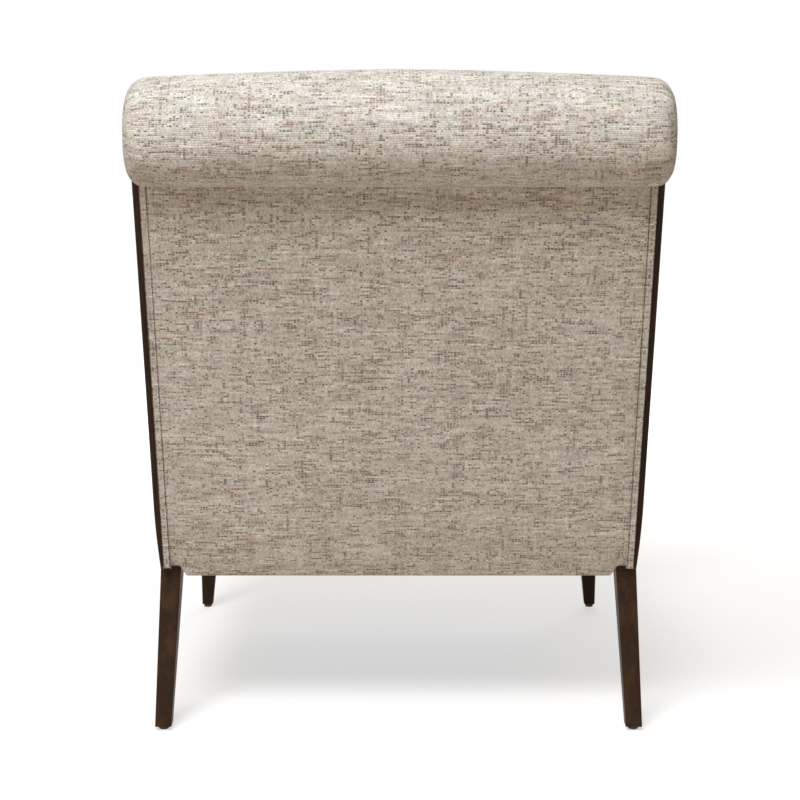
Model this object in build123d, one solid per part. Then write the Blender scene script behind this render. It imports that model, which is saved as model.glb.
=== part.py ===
"""Show-wood armchair with a raked back that ends in a padded roll.

Units are millimetres, +Z is up and the chair faces -Y. The origin is on the floor, under the
middle of the chair. Left is the sitter's left, which is +X.
"""
import math
import os

from build123d import *

# Overall
overall_depth = 900.0
frame_width = 680.0

# Raked back: the roll's axis is the origin of the back's own frame
back_rake = 19.0
roll_axis_height = 835.0
roll_radius = 73.0
roll_overhang = 10.0
roll_end_drop = 9.0
roll_end_round = 28.0
roll_end_inset = 34.0
roll_end_shares = (0, 0.3, 0.55, 0.75, 0.9, 1)
cover_thick = 1.5
soft_gap = 0.3

# Rear posts, each one piece with its leg
post_thick = 33.0
post_set_back = 25.0
post_depth_top = 40.0
post_depth_seat = 52.0
post_into_roll = 35.0
post_edge_round = 3.0
waist_height = 215.0
waist_relief = 4.3
waist_relief_length = 100.0
waist_soften = 1.5
waist_sections = 6
leg_kick = 66.0
leg_depth_top = 47.0
rear_foot_width = 23.0
rear_foot_depth = 26.0

# Front legs, which run on up as arm posts
front_leg_width = 40.0
front_foot_width = 18.0
arm_post_width = 31.0
arm_post_top_depth = 33.0
front_leg_inset = 20.0
front_leg_round = 2.5
long_edge_share = 1.5

# Seat frame
rail_bottom = 212.0
rail_height = 65.0
rail_thick = 24.0
rear_rail_thick = 28.0
side_rail_inset = 4.0
corner_block_leg = 92.0
corner_block_height = 40.0

# Back frame
back_rail_thick = 24.0
lower_back_rail_width = 45.0
lower_back_rail_height = 345.0
top_back_rail_width = 55.0
top_back_rail_drop = 7.0
liner_size = 20.0
webbing_count = 4
webbing_width = 55.0
webbing_thick = 2.0

# Arms
arm_top_front = 608.0
arm_top_rear = 640.0
arm_thick = 34.0
arm_width = 32.0
arm_dip = 8.0
arm_clear_of_cushion = 2.5
arm_flare = 10.0
arm_overhang = 16.0
arm_round = 7.0
arm_nose = 17.0
arm_nose_blunt = 0.85
arm_nose_shares = (0, 0.12, 0.3, 0.6)
arm_stations = 12

# Dowels, screws and glides
dowel_diameter = 8.0
dowel_length = 40.0
dowel_pitch_wide = 40.0
dowel_pitch_narrow = 14.0
dowel_clearance = 0.05
dowel_end_room = 1.0
screw_diameter = 4.5
screw_length = 32.0
screw_grip = 14.0
screw_sink = 60.0
screw_stagger = 8.0
screw_head_diameter = 9.0
screw_head_height = 3.0
screw_clearance = 0.05
glide_height = 6.0
glide_round = 2.5
rear_glide_diameter = 15.0
front_glide_diameter = 13.6
glide_nail_diameter = 2.5
glide_nail_length = 16.0

# Seat springs
spring_count = 5
spring_side_room = 116.0
spring_wire = 3.8
spring_half_width = 24.0
spring_runs = 20
spring_bend_room = 1.0
clip_thick = 1.2
clip_width = 14.0
clip_length = 20.0

# Soft seat
deck_thick = 22.0
deck_edge_inset = 1.5
border_thick = 10.0
border_crown = 4.0
border_edge_share = 0.7
border_crown_shares = (0.25, 0.6, 1.0, 0.6, 0.25)
border_below_rail = 3.0
side_border_thick = 2.5
dust_cover_thick = 0.8
cushion_thick = 134.0
cushion_crown = 9.0
cushion_draw_in = 6.0
cushion_corner_drop = 22.0
cushion_edge_round = 26.0
cushion_stations = 16
cushion_rear_tilt = 14.0
cushion_clear_of_back = 4.0

# Soft back
back_pad_fwd_top = 73.0
back_pad_fwd_lumbar = 104.0
back_pad_fwd_low = 98.0
back_pad_crown = 20.0
back_pad_draw_in = 5.0
back_pad_top_edge = 34.0
back_pad_crown_shares = (0.6, 0.8, 1.0, 0.8, 0.3)
outside_board_thick = 3.0
outside_pad_thick = 7.0
outside_pad_crown = 4.0
outside_crown_shares = (0.25, 1.0, 0.5)
outside_edge_margin = 10.0
edge_border_width = 9.5
edge_border_gap = 0.6
panel_roll_gap = 0.9
outside_bottom = 206.0
outside_bottom_at_leg = 220.0

# Roll core
roll_core_diameter = 100.0
roll_core_wall = 4.0
roll_former_thick = 12.0

# Places worked out from the sizes above
half_frame = frame_width / 2
roll_length = frame_width + 2 * roll_overhang
rake_sin = math.sin(math.radians(back_rake))
rake_cos = math.cos(math.radians(back_rake))
rake_tan = rake_sin / rake_cos
roll_axis_y = overall_depth / 2 - roll_radius
post_inner_x = half_frame - post_thick
post_rear_fwd = -post_set_back
rail_top = rail_bottom + rail_height
front_leg_front_y = -overall_depth / 2 + front_leg_inset
front_leg_rear_y = front_leg_front_y + front_leg_width
front_leg_inner_x = half_frame - front_leg_width
arm_post_inner_x = half_frame - arm_post_width
arm_inner_x = half_frame - arm_width
cushion_half_width = arm_inner_x - arm_clear_of_cushion
side_rail_outer_x = half_frame - side_rail_inset
side_rail_inner_x = side_rail_outer_x - rail_thick
front_rail_front_y = front_leg_front_y + side_rail_inset
front_rail_rear_y = front_rail_front_y + rail_thick
spring_pitch = 2 * (half_frame - spring_side_room) / (spring_count - 1)
spring_height = rail_top + clip_thick + spring_wire / 2
clip_top = spring_height + spring_wire / 2 + clip_thick
deck_bottom = clip_top + soft_gap
deck_top = deck_bottom + deck_thick
cushion_bottom = deck_top + soft_gap
reach = 2 * overall_depth

back_frame = Plane(
    origin=(0, roll_axis_y, roll_axis_height),
    x_dir=(1, 0, 0),
    z_dir=(0, -rake_cos, rake_sin),
)


def back_yz(up, fwd):
    """Side-view point of a place given along the raked back: up it, and forward of the roll's axis."""
    y = roll_axis_y + up * rake_sin - fwd * rake_cos
    z = roll_axis_height + up * rake_cos + fwd * rake_sin
    return (y, z)


def up_at_height(height, fwd):
    """How far up the raked back a height lies, for a layer that is fwd of the roll's axis."""
    return (height - roll_axis_height - fwd * rake_sin) / rake_cos


def back_box(x_low, x_high, up_low, up_high, fwd_low, fwd_high):
    """Box set square to the raked back."""
    size = (x_high - x_low, up_high - up_low, fwd_high - fwd_low)
    middle = ((x_low + x_high) / 2, (up_low + up_high) / 2, (fwd_low + fwd_high) / 2)
    return back_frame * Pos(*middle) * Box(*size)


def world_box(x_low, x_high, y_low, y_high, z_low, z_high):
    """Box between two corners."""
    size = (x_high - x_low, y_high - y_low, z_high - z_low)
    middle = ((x_low + x_high) / 2, (y_low + y_high) / 2, (z_low + z_high) / 2)
    return Pos(*middle) * Box(*size)


def outline(points):
    """Flat face inside a closed run of straight edges."""
    return make_face(Polyline(*points, close=True))


def from_two_views(side_face, front_face):
    """Solid whose side view (y, z) and front view (x, z) are the two faces."""
    side = extrude(Plane.YZ * side_face, amount=reach, both=True)
    front = extrude(Plane.XZ * front_face, amount=reach, both=True)
    return (side & front).solid()


def ease_long_edges(piece, radius, shortest):
    """Round the long edges of a wooden piece."""
    return fillet(piece.edges().filter_by(lambda edge: edge.length > shortest), radius).solid()


def other_side(piece):
    """The same piece on the sitter's right."""
    return mirror(piece, about=Plane.YZ)


def rod(start, direction, length, diameter):
    """Round rod from a point along a direction."""
    return extrude(Plane(origin=start, z_dir=direction) * Circle(diameter / 2), amount=length)


class DowelJoint:
    """A round dowel half in each of two pieces, with the hole that takes it."""

    def __init__(self, middle, direction):
        axis = Vector(*direction)
        start = Vector(*middle) - axis * (dowel_length / 2)
        hole_start = start - axis * dowel_end_room
        hole_length = dowel_length + 2 * dowel_end_room
        self.dowel = rod(start, direction, dowel_length, dowel_diameter)
        self.hole = rod(hole_start, direction, hole_length, dowel_diameter + 2 * dowel_clearance)


class WoodScrew:
    """A round-headed screw: its head's seat is at the start, its shank runs along the direction."""

    def __init__(self, seat, direction, sink):
        axis = Vector(*direction)
        head_start = Vector(*seat) - axis * screw_head_height
        sink_start = Vector(*seat) - axis * sink
        self.screw = rod(head_start, direction, screw_head_height, screw_head_diameter) + rod(
            seat, direction, screw_length, screw_diameter
        )
        self.hole = rod(seat, direction, screw_length + dowel_end_room, screw_diameter + 2 * screw_clearance)
        self.sink = rod(sink_start, direction, sink, screw_head_diameter + 2 * dowel_end_room)


def drilled(piece, holes):
    """The piece with the holes taken out of it."""
    for hole in holes:
        piece = piece - hole
    return piece.solid()


# Rear post with its leg
waist_y = back_yz(up_at_height(waist_height, post_rear_fwd), post_rear_fwd)[0]
post_top = roll_axis_height + post_into_roll
relief_top = waist_height + waist_relief_length


def between(value, low, high, at_low, at_high):
    """Straight run from one value to another, held at its ends."""
    share = min(max((value - low) / (high - low), 0), 1)
    return at_low + (at_high - at_low) * share


def post_rear_y(height):
    """Rear edge of the post: the raked line above the waist and the kicked leg below, run together."""
    rise = height - waist_height
    kick = leg_kick / (waist_height - glide_height)
    half_sum = (rake_tan + kick) / 2
    half_difference = (rake_tan - kick) / 2
    return waist_y + half_difference * rise + math.hypot(half_sum * rise, waist_soften)


def post_front_y(height):
    """Front edge of the post, set off from the rear edge by the post's depth."""
    if height < waist_height:
        depth = between(height, glide_height, waist_height, rear_foot_depth, leg_depth_top)
    elif height < rail_top:
        depth = between(height, waist_height, rail_top, leg_depth_top, post_depth_seat / rake_cos)
    else:
        depth = between(height, rail_top, post_top, post_depth_seat, post_depth_top) / rake_cos
    return post_rear_y(height) - depth


def post_outer_x(height):
    """Outer face of the post: straight, and drawn in to the waist along an arc."""
    if height < waist_height:
        return half_frame - between(height, glide_height, waist_height, 0, waist_relief)
    share = between(height, waist_height, relief_top, 1, 0)
    return half_frame - waist_relief * share ** 2


def post_section(height):
    """Level section through the post and its leg."""
    inner = half_frame - between(height, glide_height, waist_height, rear_foot_width, post_thick)
    outer = post_outer_x(height)
    front = post_front_y(height)
    rear = post_rear_y(height)
    middle = ((inner + outer) / 2, (front + rear) / 2, height)
    return Pos(*middle) * RectangleRounded(outer - inner, rear - front, post_edge_round)


def make_rear_post():
    step = waist_relief_length / waist_sections
    heights = [glide_height]
    heights += [waist_height + step * number for number in range(-2, waist_sections + 1)]
    heights += [post_top]
    return loft([post_section(height) for height in heights], ruled=True).solid()


# Front leg, which runs on up as the arm post
def make_front_leg(arm):
    shoulder = deck_top - soft_gap
    top = arm_top_front - arm_thick / 2
    side = outline([
        (front_leg_front_y, glide_height),
        (front_leg_front_y, top),
        (front_leg_front_y + arm_post_top_depth, top),
        (front_leg_rear_y, shoulder),
        (front_leg_rear_y, rail_bottom),
        (front_leg_front_y + front_foot_width, glide_height),
    ])
    front = outline([
        (half_frame, glide_height),
        (half_frame, top),
        (arm_post_inner_x, top),
        (arm_post_inner_x, shoulder),
        (front_leg_inner_x, shoulder - deck_thick),
        (front_leg_inner_x, rail_bottom),
        (half_frame - front_foot_width, glide_height),
    ])
    leg = ease_long_edges(from_two_views(side, front), front_leg_round, front_leg_width * long_edge_share)
    return (leg - arm).solid()


# Open arm from the arm post back to the rear post
arm_front_y = front_leg_front_y - arm_overhang


def arm_section(y, rear_y):
    """Upright section across the arm, which dips along its length and flares towards its rounded nose."""
    share = (y - arm_front_y) / (rear_y - arm_front_y)
    into_nose = between(y, arm_front_y, arm_front_y + arm_nose, 1, 0)
    height = arm_thick * math.sqrt(1 - arm_nose_blunt * into_nose ** 2)
    level = arm_top_front + (arm_top_rear - arm_top_front) * share - 4 * arm_dip * share * (1 - share)
    flare = arm_flare * max(1 - 2 * share, 0) ** 2
    nose_inset = arm_nose / 3 * into_nose ** 2
    outer_x = half_frame + flare - nose_inset
    middle = ((arm_inner_x + outer_x) / 2, y, level - arm_thick / 2)
    plane = Plane(origin=middle, x_dir=(1, 0, 0), z_dir=(0, -1, 0))
    return plane * RectangleRounded(outer_x - arm_inner_x, height, min(arm_round, height / 3))


def make_arm(post):
    rear_y = post_rear_y(arm_top_rear) - post_depth_top / 4
    straight = rear_y - arm_front_y - arm_nose
    places = [arm_front_y + arm_nose * share for share in arm_nose_shares]
    step = straight / arm_stations
    places += [arm_front_y + arm_nose + step * number for number in range(arm_stations + 1)]
    arm = loft([arm_section(y, rear_y) for y in places], ruled=True)
    return (arm - post).solids().sort_by(Axis.Y)[0]


# Seat rails
def beside(post):
    """The post moved out past its waist, to cut off what would run on beside it."""
    return Pos(2 * waist_relief, 0, 0) * post


def make_side_rail(post):
    rear_y = post_front_y(rail_top) + post_depth_seat / 2
    rail = world_box(side_rail_inner_x, side_rail_outer_x, front_leg_rear_y, rear_y, rail_bottom, rail_top)
    return (rail - post - beside(post)).solids().sort_by(Axis.Y)[0]


def make_front_rail():
    return world_box(
        -front_leg_inner_x, front_leg_inner_x, front_rail_front_y, front_rail_rear_y, rail_bottom, rail_top
    )


def rear_rail_y(height, fwd):
    """Depth place of a layer of the raked back at a height."""
    return back_yz(up_at_height(height, fwd), fwd)[0]


def make_rear_rail():
    """Rail ripped to the rake, with level top and bottom."""
    front_fwd = post_rear_fwd + rear_rail_thick
    section = outline([
        (rear_rail_y(rail_bottom, post_rear_fwd), rail_bottom),
        (rear_rail_y(rail_top, post_rear_fwd), rail_top),
        (rear_rail_y(rail_top, front_fwd), rail_top),
        (rear_rail_y(rail_bottom, front_fwd), rail_bottom),
    ])
    return extrude(Plane.YZ * section, amount=post_inner_x, both=True).solid()


# Back frame
lower_rail_up = up_at_height(lower_back_rail_height, post_rear_fwd)
lower_rail_top_up = lower_rail_up + lower_back_rail_width
top_rail_top_up = -roll_radius - top_back_rail_drop
top_rail_up = top_rail_top_up - top_back_rail_width
lower_rail_fwd = post_rear_fwd + back_rail_thick
liner_fwd = post_rear_fwd + back_rail_thick / 2
webbing_fwd = liner_fwd + liner_size
pad_back_fwd = webbing_fwd + webbing_thick + soft_gap


def make_lower_back_rail():
    return back_box(
        -post_inner_x, post_inner_x, lower_rail_up, lower_rail_top_up, post_rear_fwd, lower_rail_fwd
    )


def make_top_back_rail():
    return back_box(
        -post_inner_x, post_inner_x, top_rail_up, top_rail_top_up, webbing_fwd - back_rail_thick, webbing_fwd
    )


def make_liner():
    return back_box(
        post_inner_x - liner_size, post_inner_x, lower_rail_top_up, top_rail_up, liner_fwd, webbing_fwd
    )


def make_webbing(number):
    pitch = (top_rail_up - lower_rail_top_up) / webbing_count
    middle = lower_rail_top_up + pitch * (number + 0.5)
    reach_x = post_inner_x - soft_gap
    strap = back_box(
        -reach_x,
        reach_x,
        middle - webbing_width / 2,
        middle + webbing_width / 2,
        webbing_fwd,
        webbing_fwd + webbing_thick,
    )
    return strap


# Corner blocks, each cut to the leg and rails that it stiffens
block_middle = rail_bottom + rail_height / 2
block_low = block_middle - corner_block_height / 2
block_high = block_middle + corner_block_height / 2
rear_block_y = rear_rail_y(block_high, post_rear_fwd + rear_rail_thick) + soft_gap


def make_corner_block(corner_y, toward, neighbours):
    block = extrude(
        Plane.XY.offset(block_low) * outline([
            (side_rail_inner_x, corner_y),
            (side_rail_inner_x, corner_y + toward * corner_block_leg),
            (side_rail_inner_x - corner_block_leg, corner_y),
        ]),
        amount=corner_block_height,
    )
    for neighbour in neighbours:
        block = block - neighbour
    return block.solids().sort_by(SortBy.VOLUME)[-1]


def corner_block_screws(corner_y, toward):
    """One screw into the side rail and one into the cross rail."""
    along = corner_y + toward * corner_block_leg / 2
    across = side_rail_inner_x - corner_block_leg / 2
    cross_height = block_middle + screw_stagger
    face_y = corner_y
    if toward < 0:
        face_y = rear_rail_y(cross_height, post_rear_fwd + rear_rail_thick)
    side_seat = (side_rail_inner_x - screw_grip, along, block_middle - screw_stagger)
    cross_seat = (across, face_y + toward * screw_grip, cross_height)
    return [
        WoodScrew(side_seat, (1, 0, 0), screw_sink),
        WoodScrew(cross_seat, (0, -toward, 0), screw_sink),
    ]


# Dowels on the sitter's left; the right has the same
side_rail_middle_x = (side_rail_inner_x + side_rail_outer_x) / 2
front_rail_middle_y = (front_rail_front_y + front_rail_rear_y) / 2
wide_heights = [block_middle - dowel_pitch_wide / 2, block_middle + dowel_pitch_wide / 2]
narrow_heights = [block_middle - dowel_pitch_narrow / 2, block_middle + dowel_pitch_narrow / 2]
arm_middle_x = (arm_post_inner_x + half_frame) / 2


def side_rail_dowels():
    front = [DowelJoint((side_rail_middle_x, front_leg_rear_y, height), (0, 1, 0)) for height in wide_heights]
    rear = [
        DowelJoint((side_rail_middle_x, post_front_y(height), height), (0, 1, 0)) for height in wide_heights
    ]
    return front, rear


def front_rail_dowels():
    return [
        DowelJoint((front_leg_inner_x, front_rail_middle_y, height), (1, 0, 0)) for height in narrow_heights
    ]


def rear_rail_dowels():
    fwd = post_rear_fwd + rear_rail_thick / 2
    places = [(post_inner_x, rear_rail_y(height, fwd), height) for height in narrow_heights]
    return [DowelJoint(place, (1, 0, 0)) for place in places]


def back_rail_dowels(up_low, up_high, fwd):
    quarter = (up_high - up_low) / 4
    ups = [up_low + quarter, up_high - quarter]
    return [DowelJoint((post_inner_x, *back_yz(up, fwd)), (1, 0, 0)) for up in ups]


def arm_dowels():
    rear_height = arm_top_rear - arm_thick / 2 - arm_dip / 2
    heights = [rear_height - dowel_pitch_narrow / 2, rear_height + dowel_pitch_narrow / 2]
    rear = [DowelJoint((arm_middle_x, post_front_y(height), height), (0, 1, 0)) for height in heights]
    middle_y = front_leg_front_y + arm_post_top_depth / 2
    places = [middle_y - dowel_pitch_narrow / 2, middle_y + dowel_pitch_narrow / 2]
    joint_height = arm_top_front - arm_thick
    front = [DowelJoint((arm_middle_x, place, joint_height), (0, 0, 1)) for place in places]
    return front, rear


# Glides
def make_glide(x, y, diameter):
    disc = Pos(x, y, glide_height / 2) * Cylinder(diameter / 2, glide_height)
    rim = disc.edges().filter_by(GeomType.CIRCLE).sort_by(Axis.Z)[0]
    disc = fillet(rim, glide_round)
    nail = rod((x, y, glide_height), (0, 0, 1), glide_nail_length, glide_nail_diameter)
    return (disc + nail).solid()


def glide_hole(x, y):
    length = glide_nail_length + dowel_end_room
    return rod((x, y, glide_height), (0, 0, 1), length, glide_nail_diameter + 2 * screw_clearance)


# Seat springs and the clips that hold their ends
spring_front_y = front_rail_middle_y
spring_rear_y = rear_rail_y(rail_top, post_rear_fwd + rear_rail_thick / 2)


def make_spring(x):
    pitch = (spring_rear_y - spring_front_y) / spring_runs
    points = []
    for run in range(spring_runs + 1):
        side = 1 if run % 2 else -1
        y = spring_front_y + pitch * run
        points.append((x + side * spring_half_width, y, spring_height))
        points.append((x - side * spring_half_width, y, spring_height))
    path = FilletPolyline(*points, radius=pitch / 2 - spring_bend_room)
    section = Plane(origin=path @ 0, z_dir=path % 0) * Circle(spring_wire / 2)
    return sweep(section, path=path).solid()


def make_clip(x, y):
    base = world_box(
        x - clip_width / 2, x + clip_width / 2, y - clip_length / 2, y + clip_length / 2,
        rail_top, rail_top + clip_thick,
    )
    start = (x - clip_width / 2, y, spring_height)
    sleeve = rod(start, (1, 0, 0), clip_width, spring_wire + 2 * clip_thick)
    bore = rod(start, (1, 0, 0), clip_width, spring_wire + 2 * screw_clearance)
    return (base + sleeve - bore).solid()


# Soft seat
def post_notch(reach_in):
    """Room around the rear post at the height of the seat deck."""
    front = post_front_y(deck_bottom) - reach_in
    return world_box(post_inner_x - reach_in, reach, front, reach, deck_bottom - reach, deck_top + reach)


def leg_notch(reach_in):
    """Room around the front leg at the height of the seat frame."""
    return world_box(
        front_leg_inner_x - reach_in, reach, -reach, front_leg_rear_y + reach_in, -reach, reach
    )


def make_deck():
    half = side_rail_outer_x - deck_edge_inset
    rear = rear_rail_y(deck_bottom, post_rear_fwd + rear_rail_thick / 2)
    deck = world_box(-half, half, front_rail_front_y + deck_edge_inset, rear, deck_bottom, deck_top)
    for notch in (post_notch(soft_gap), leg_notch(soft_gap)):
        deck = deck - notch - other_side(notch)
    return deck.solid()


def band_section(height, thick, crown):
    """Level section of the padded front band: flat on its rail, bulging in front."""
    half = front_leg_inner_x - soft_gap
    base_y = front_rail_front_y
    face_y = base_y - thick
    section = make_face([
        Line((-half, base_y), (half, base_y)),
        Line((half, base_y), (half, face_y)),
        ThreePointArc((half, face_y), (0, face_y - crown), (-half, face_y)),
        Line((-half, face_y), (-half, base_y)),
    ])
    return Plane.XY.offset(height) * section


def make_front_border():
    low = rail_bottom - border_below_rail
    high = deck_top
    edge = border_thick * border_edge_share
    heights = [low, low + border_thick, (low + high) / 2, high - border_thick, high]
    thicks = [edge, border_thick, border_thick, border_thick, edge]
    crowns = [border_crown * share for share in border_crown_shares]
    return loft([band_section(*sizes) for sizes in zip(heights, thicks, crowns)]).solid()


def make_side_border(post, leg):
    low = rail_bottom - border_below_rail
    rear_y = post_front_y(rail_top) + post_depth_seat / 2
    band = world_box(
        side_rail_outer_x, side_rail_outer_x + side_border_thick, front_leg_rear_y, rear_y, low, deck_top
    )
    return (band - post - beside(post) - leg).solids().sort_by(Axis.Y)[0]


def make_dust_cover(post, leg):
    low = rail_bottom - dust_cover_thick
    half = side_rail_outer_x
    rear = rear_rail_y(rail_bottom, post_rear_fwd + outside_board_thick)
    sheet = world_box(-half, half, front_rail_front_y, rear, low, rail_bottom)
    rear_leg_room = world_box(
        post_inner_x - soft_gap - post_thick / 4, reach, post_front_y(low) - post_thick / 4, reach, 0, reach
    )
    for cutter in (leg_notch(soft_gap), rear_leg_room):
        sheet = sheet - cutter - other_side(cutter)
    return sheet.solid()


# Inside back: a foam pad in its cover, lofted up the raked back
def back_layer(up):
    """Plane square to the raked back; its x is the chair's x and its y points to the rear."""
    origin = (0, *back_yz(up, 0))
    return Plane(origin=origin, x_dir=(1, 0, 0), z_dir=(0, rake_sin, rake_cos))


def crowned_layer(up, half_width, draw_in, base_fwd, edge_fwd, crown_fwd):
    """Section with a flat base, drawn-in sides and a crowned face."""
    edge = half_width - draw_in
    face = make_face([
        Line((-half_width, -base_fwd), (half_width, -base_fwd)),
        Line((half_width, -base_fwd), (edge, -edge_fwd)),
        ThreePointArc((edge, -edge_fwd), (0, -crown_fwd), (-edge, -edge_fwd)),
        Line((-edge, -edge_fwd), (-half_width, -base_fwd)),
    ])
    return back_layer(up) * face


pad_low_up = up_at_height(deck_top, back_pad_fwd_lumbar)
pad_lumbar_up = up_at_height(deck_top + cushion_thick + cushion_crown, back_pad_fwd_lumbar)
pad_top_up = -back_pad_top_edge


def inside_back_form(shrink, base_fwd):
    """Outer form of the inside back, made smaller all round by a thickness."""
    half = post_inner_x - soft_gap - shrink
    middle_up = (pad_lumbar_up + pad_top_up) / 2
    middle_fwd = (back_pad_fwd_lumbar + back_pad_fwd_top) / 2
    below_fwd = 2 * back_pad_fwd_low - back_pad_fwd_lumbar
    layers = [
        (2 * pad_low_up - pad_lumbar_up, below_fwd),
        (pad_low_up, back_pad_fwd_low),
        (pad_lumbar_up, back_pad_fwd_lumbar),
        (middle_up, middle_fwd),
        (pad_top_up, back_pad_fwd_top),
    ]
    sections = []
    for (up, crown_fwd), share in zip(layers, back_pad_crown_shares):
        edge_fwd = crown_fwd - back_pad_crown * share
        sections.append(
            crowned_layer(up, half, back_pad_draw_in, base_fwd, edge_fwd - shrink, crown_fwd - shrink)
        )
    form = loft(sections)
    floor_cut = world_box(-reach, reach, -reach, reach, -reach, deck_top + soft_gap + shrink)
    return form - floor_cut


# Roll: sections across the chair, each a circle of four arcs
def roll_section(x, radius, drop):
    """Round section, a little lower towards the roll's ends."""
    slant = radius * math.sqrt(0.5)
    ring = [(0, radius), (radius, 0), (0, -radius), (-radius, 0)]
    mids = [(slant, slant), (slant, -slant), (-slant, -slant), (-slant, slant)]
    arcs = [ThreePointArc(ring[turn], mids[turn], ring[(turn + 1) % 4]) for turn in range(4)]
    plane = Plane(origin=(x, roll_axis_y, roll_axis_height - drop), x_dir=(0, 1, 0), z_dir=(1, 0, 0))
    return plane * make_face(arcs)


def roll_form(shrink):
    """The padded roll: fullest in the middle, with rounded ends."""
    half = roll_length / 2 - shrink
    shoulder = half - roll_end_round
    places = [0, shoulder / 3, shoulder * 2 / 3]
    places += [shoulder + roll_end_round * share for share in roll_end_shares]
    places = [-place for place in places[:0:-1]] + places
    sections = []
    for place in places:
        fall = roll_end_drop / 2 * (place / half) ** 2
        turn = max(abs(place) - shoulder, 0) / roll_end_round
        inset = roll_end_inset * (1 - math.sqrt(max(1 - turn ** 2, 0)))
        sections.append(roll_section(place, roll_radius - shrink - fall - inset, fall))
    return loft(sections, ruled=True)


def post_slot(room):
    """Room for the post where it runs up into the roll."""
    return back_box(
        post_inner_x - room,
        half_frame + room,
        -2 * roll_radius,
        post_into_roll / rake_cos + post_depth_top / 4 + room,
        post_rear_fwd - room,
        post_rear_fwd + post_depth_seat + room,
    )


roll_core_radius = roll_core_diameter / 2


def roll_rod(radius, half_length):
    """Solid round bar on the roll's axis."""
    return rod((-half_length, roll_axis_y, roll_axis_height), (1, 0, 0), 2 * half_length, 2 * radius)


def make_roll_core():
    half = post_inner_x - soft_gap
    return (roll_rod(roll_core_radius, half) - roll_rod(roll_core_radius - roll_core_wall, half)).solid()


def make_roll_former():
    radius = roll_core_radius - roll_core_wall - dowel_clearance
    start = (post_inner_x - roll_former_thick, roll_axis_y, roll_axis_height)
    return rod(start, (1, 0, 0), roll_former_thick, 2 * radius)


def roll_former_screws():
    seat_x = post_inner_x - roll_former_thick
    fwd = post_rear_fwd + post_depth_top / 2
    ups = [-roll_core_radius / 3, roll_core_radius / 3]
    return [WoodScrew((seat_x, *back_yz(up, fwd)), (1, 0, 0), screw_head_height) for up in ups]


def make_roll_foam():
    foam = roll_form(cover_thick + soft_gap / 2) - roll_rod(roll_core_radius + soft_gap, post_inner_x)
    slot = post_slot(soft_gap)
    return (foam - slot - other_side(slot)).solids().sort_by(SortBy.VOLUME)[-1]


def make_roll_cover():
    cover = roll_form(0) - roll_form(cover_thick)
    slot = post_slot(soft_gap)
    return (cover - slot - other_side(slot)).solids().sort_by(SortBy.VOLUME)[-1]


def make_inside_back():
    """Cover and foam, hollowed where they run up under the roll."""
    roll_room = roll_rod(roll_radius + soft_gap, reach)
    inner = inside_back_form(cover_thick, pad_back_fwd - cover_thick)
    cover = inside_back_form(0, pad_back_fwd) - inner - roll_room
    foam = inside_back_form(cover_thick + soft_gap / 2, pad_back_fwd) - roll_room
    foam_top = roll_rod(roll_radius + cover_thick + 2 * soft_gap, reach)
    return cover.solids().sort_by(SortBy.VOLUME)[-1], (foam - foam_top).solids().sort_by(SortBy.VOLUME)[-1]


# Outside back
board_fwd = post_rear_fwd - outside_board_thick
panel_base_fwd = board_fwd - soft_gap
panel_fwd = panel_base_fwd - outside_pad_thick
panel_low_up = up_at_height(outside_bottom, panel_fwd)
panel_leg_up = up_at_height(outside_bottom_at_leg, panel_fwd)
panel_top_up = -math.sqrt(roll_radius ** 2 - post_set_back ** 2) - panel_roll_gap
panel_edge_x = half_frame - outside_edge_margin
panel_half = panel_edge_x - edge_border_width - edge_border_gap


def make_outside_board(posts):
    low = panel_low_up + post_thick / 2
    board = back_box(-panel_half, panel_half, low, panel_top_up, board_fwd, post_rear_fwd)
    for post in posts:
        board = board - post
    return board.solids().sort_by(SortBy.VOLUME)[-1]


def make_outside_panel():
    middle_up = (panel_low_up + panel_top_up) / 2
    ups = [panel_low_up, middle_up, panel_top_up]
    sections = []
    for up, share in zip(ups, outside_crown_shares):
        crown_fwd = panel_fwd - outside_pad_crown * share
        sections.append(crowned_layer(up, panel_half, edge_border_gap, panel_base_fwd, panel_fwd, crown_fwd))
    panel = loft(sections)
    inner_x = post_inner_x - soft_gap
    notch = back_box(inner_x, reach, panel_low_up - reach, panel_leg_up, -reach, reach)
    return (panel - notch - other_side(notch)).solid()


def make_edge_border():
    strip = back_box(
        panel_edge_x - edge_border_width,
        panel_edge_x,
        panel_leg_up,
        panel_top_up,
        panel_fwd,
        post_rear_fwd - 3 * soft_gap,
    )
    rim = strip.edges().filter_by(lambda edge: edge.length > roll_radius).sort_by_distance(
        Vector(reach, reach, 0)
    )[0]
    return fillet(rim, edge_border_width / 3).solid()


# Loose seat cushion
cushion_front_y = -overall_depth / 2
cushion_rear_y = rear_rail_y(cushion_bottom, back_pad_fwd_low) - cushion_clear_of_back


def cushion_section(share, narrow, lift, side_height, crown_height):
    """Upright section across the cushion, leaning with the back towards its rear."""
    lean = math.radians(cushion_rear_tilt * share)
    y = cushion_front_y + (cushion_rear_y - cushion_front_y) * share
    half = cushion_half_width - narrow
    foot = half - cushion_draw_in
    face = make_face([
        Line((-foot, lift), (foot, lift)),
        ThreePointArc((foot, lift), (half, (lift + side_height) / 2), (foot, side_height)),
        ThreePointArc((foot, side_height), (0, crown_height), (-foot, side_height)),
        ThreePointArc((-foot, side_height), (-half, (lift + side_height) / 2), (-foot, lift)),
    ])
    plane = Plane(
        origin=(0, y, cushion_bottom), x_dir=(1, 0, 0), z_dir=(0, -math.cos(lean), math.sin(lean))
    )
    return plane * face


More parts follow.
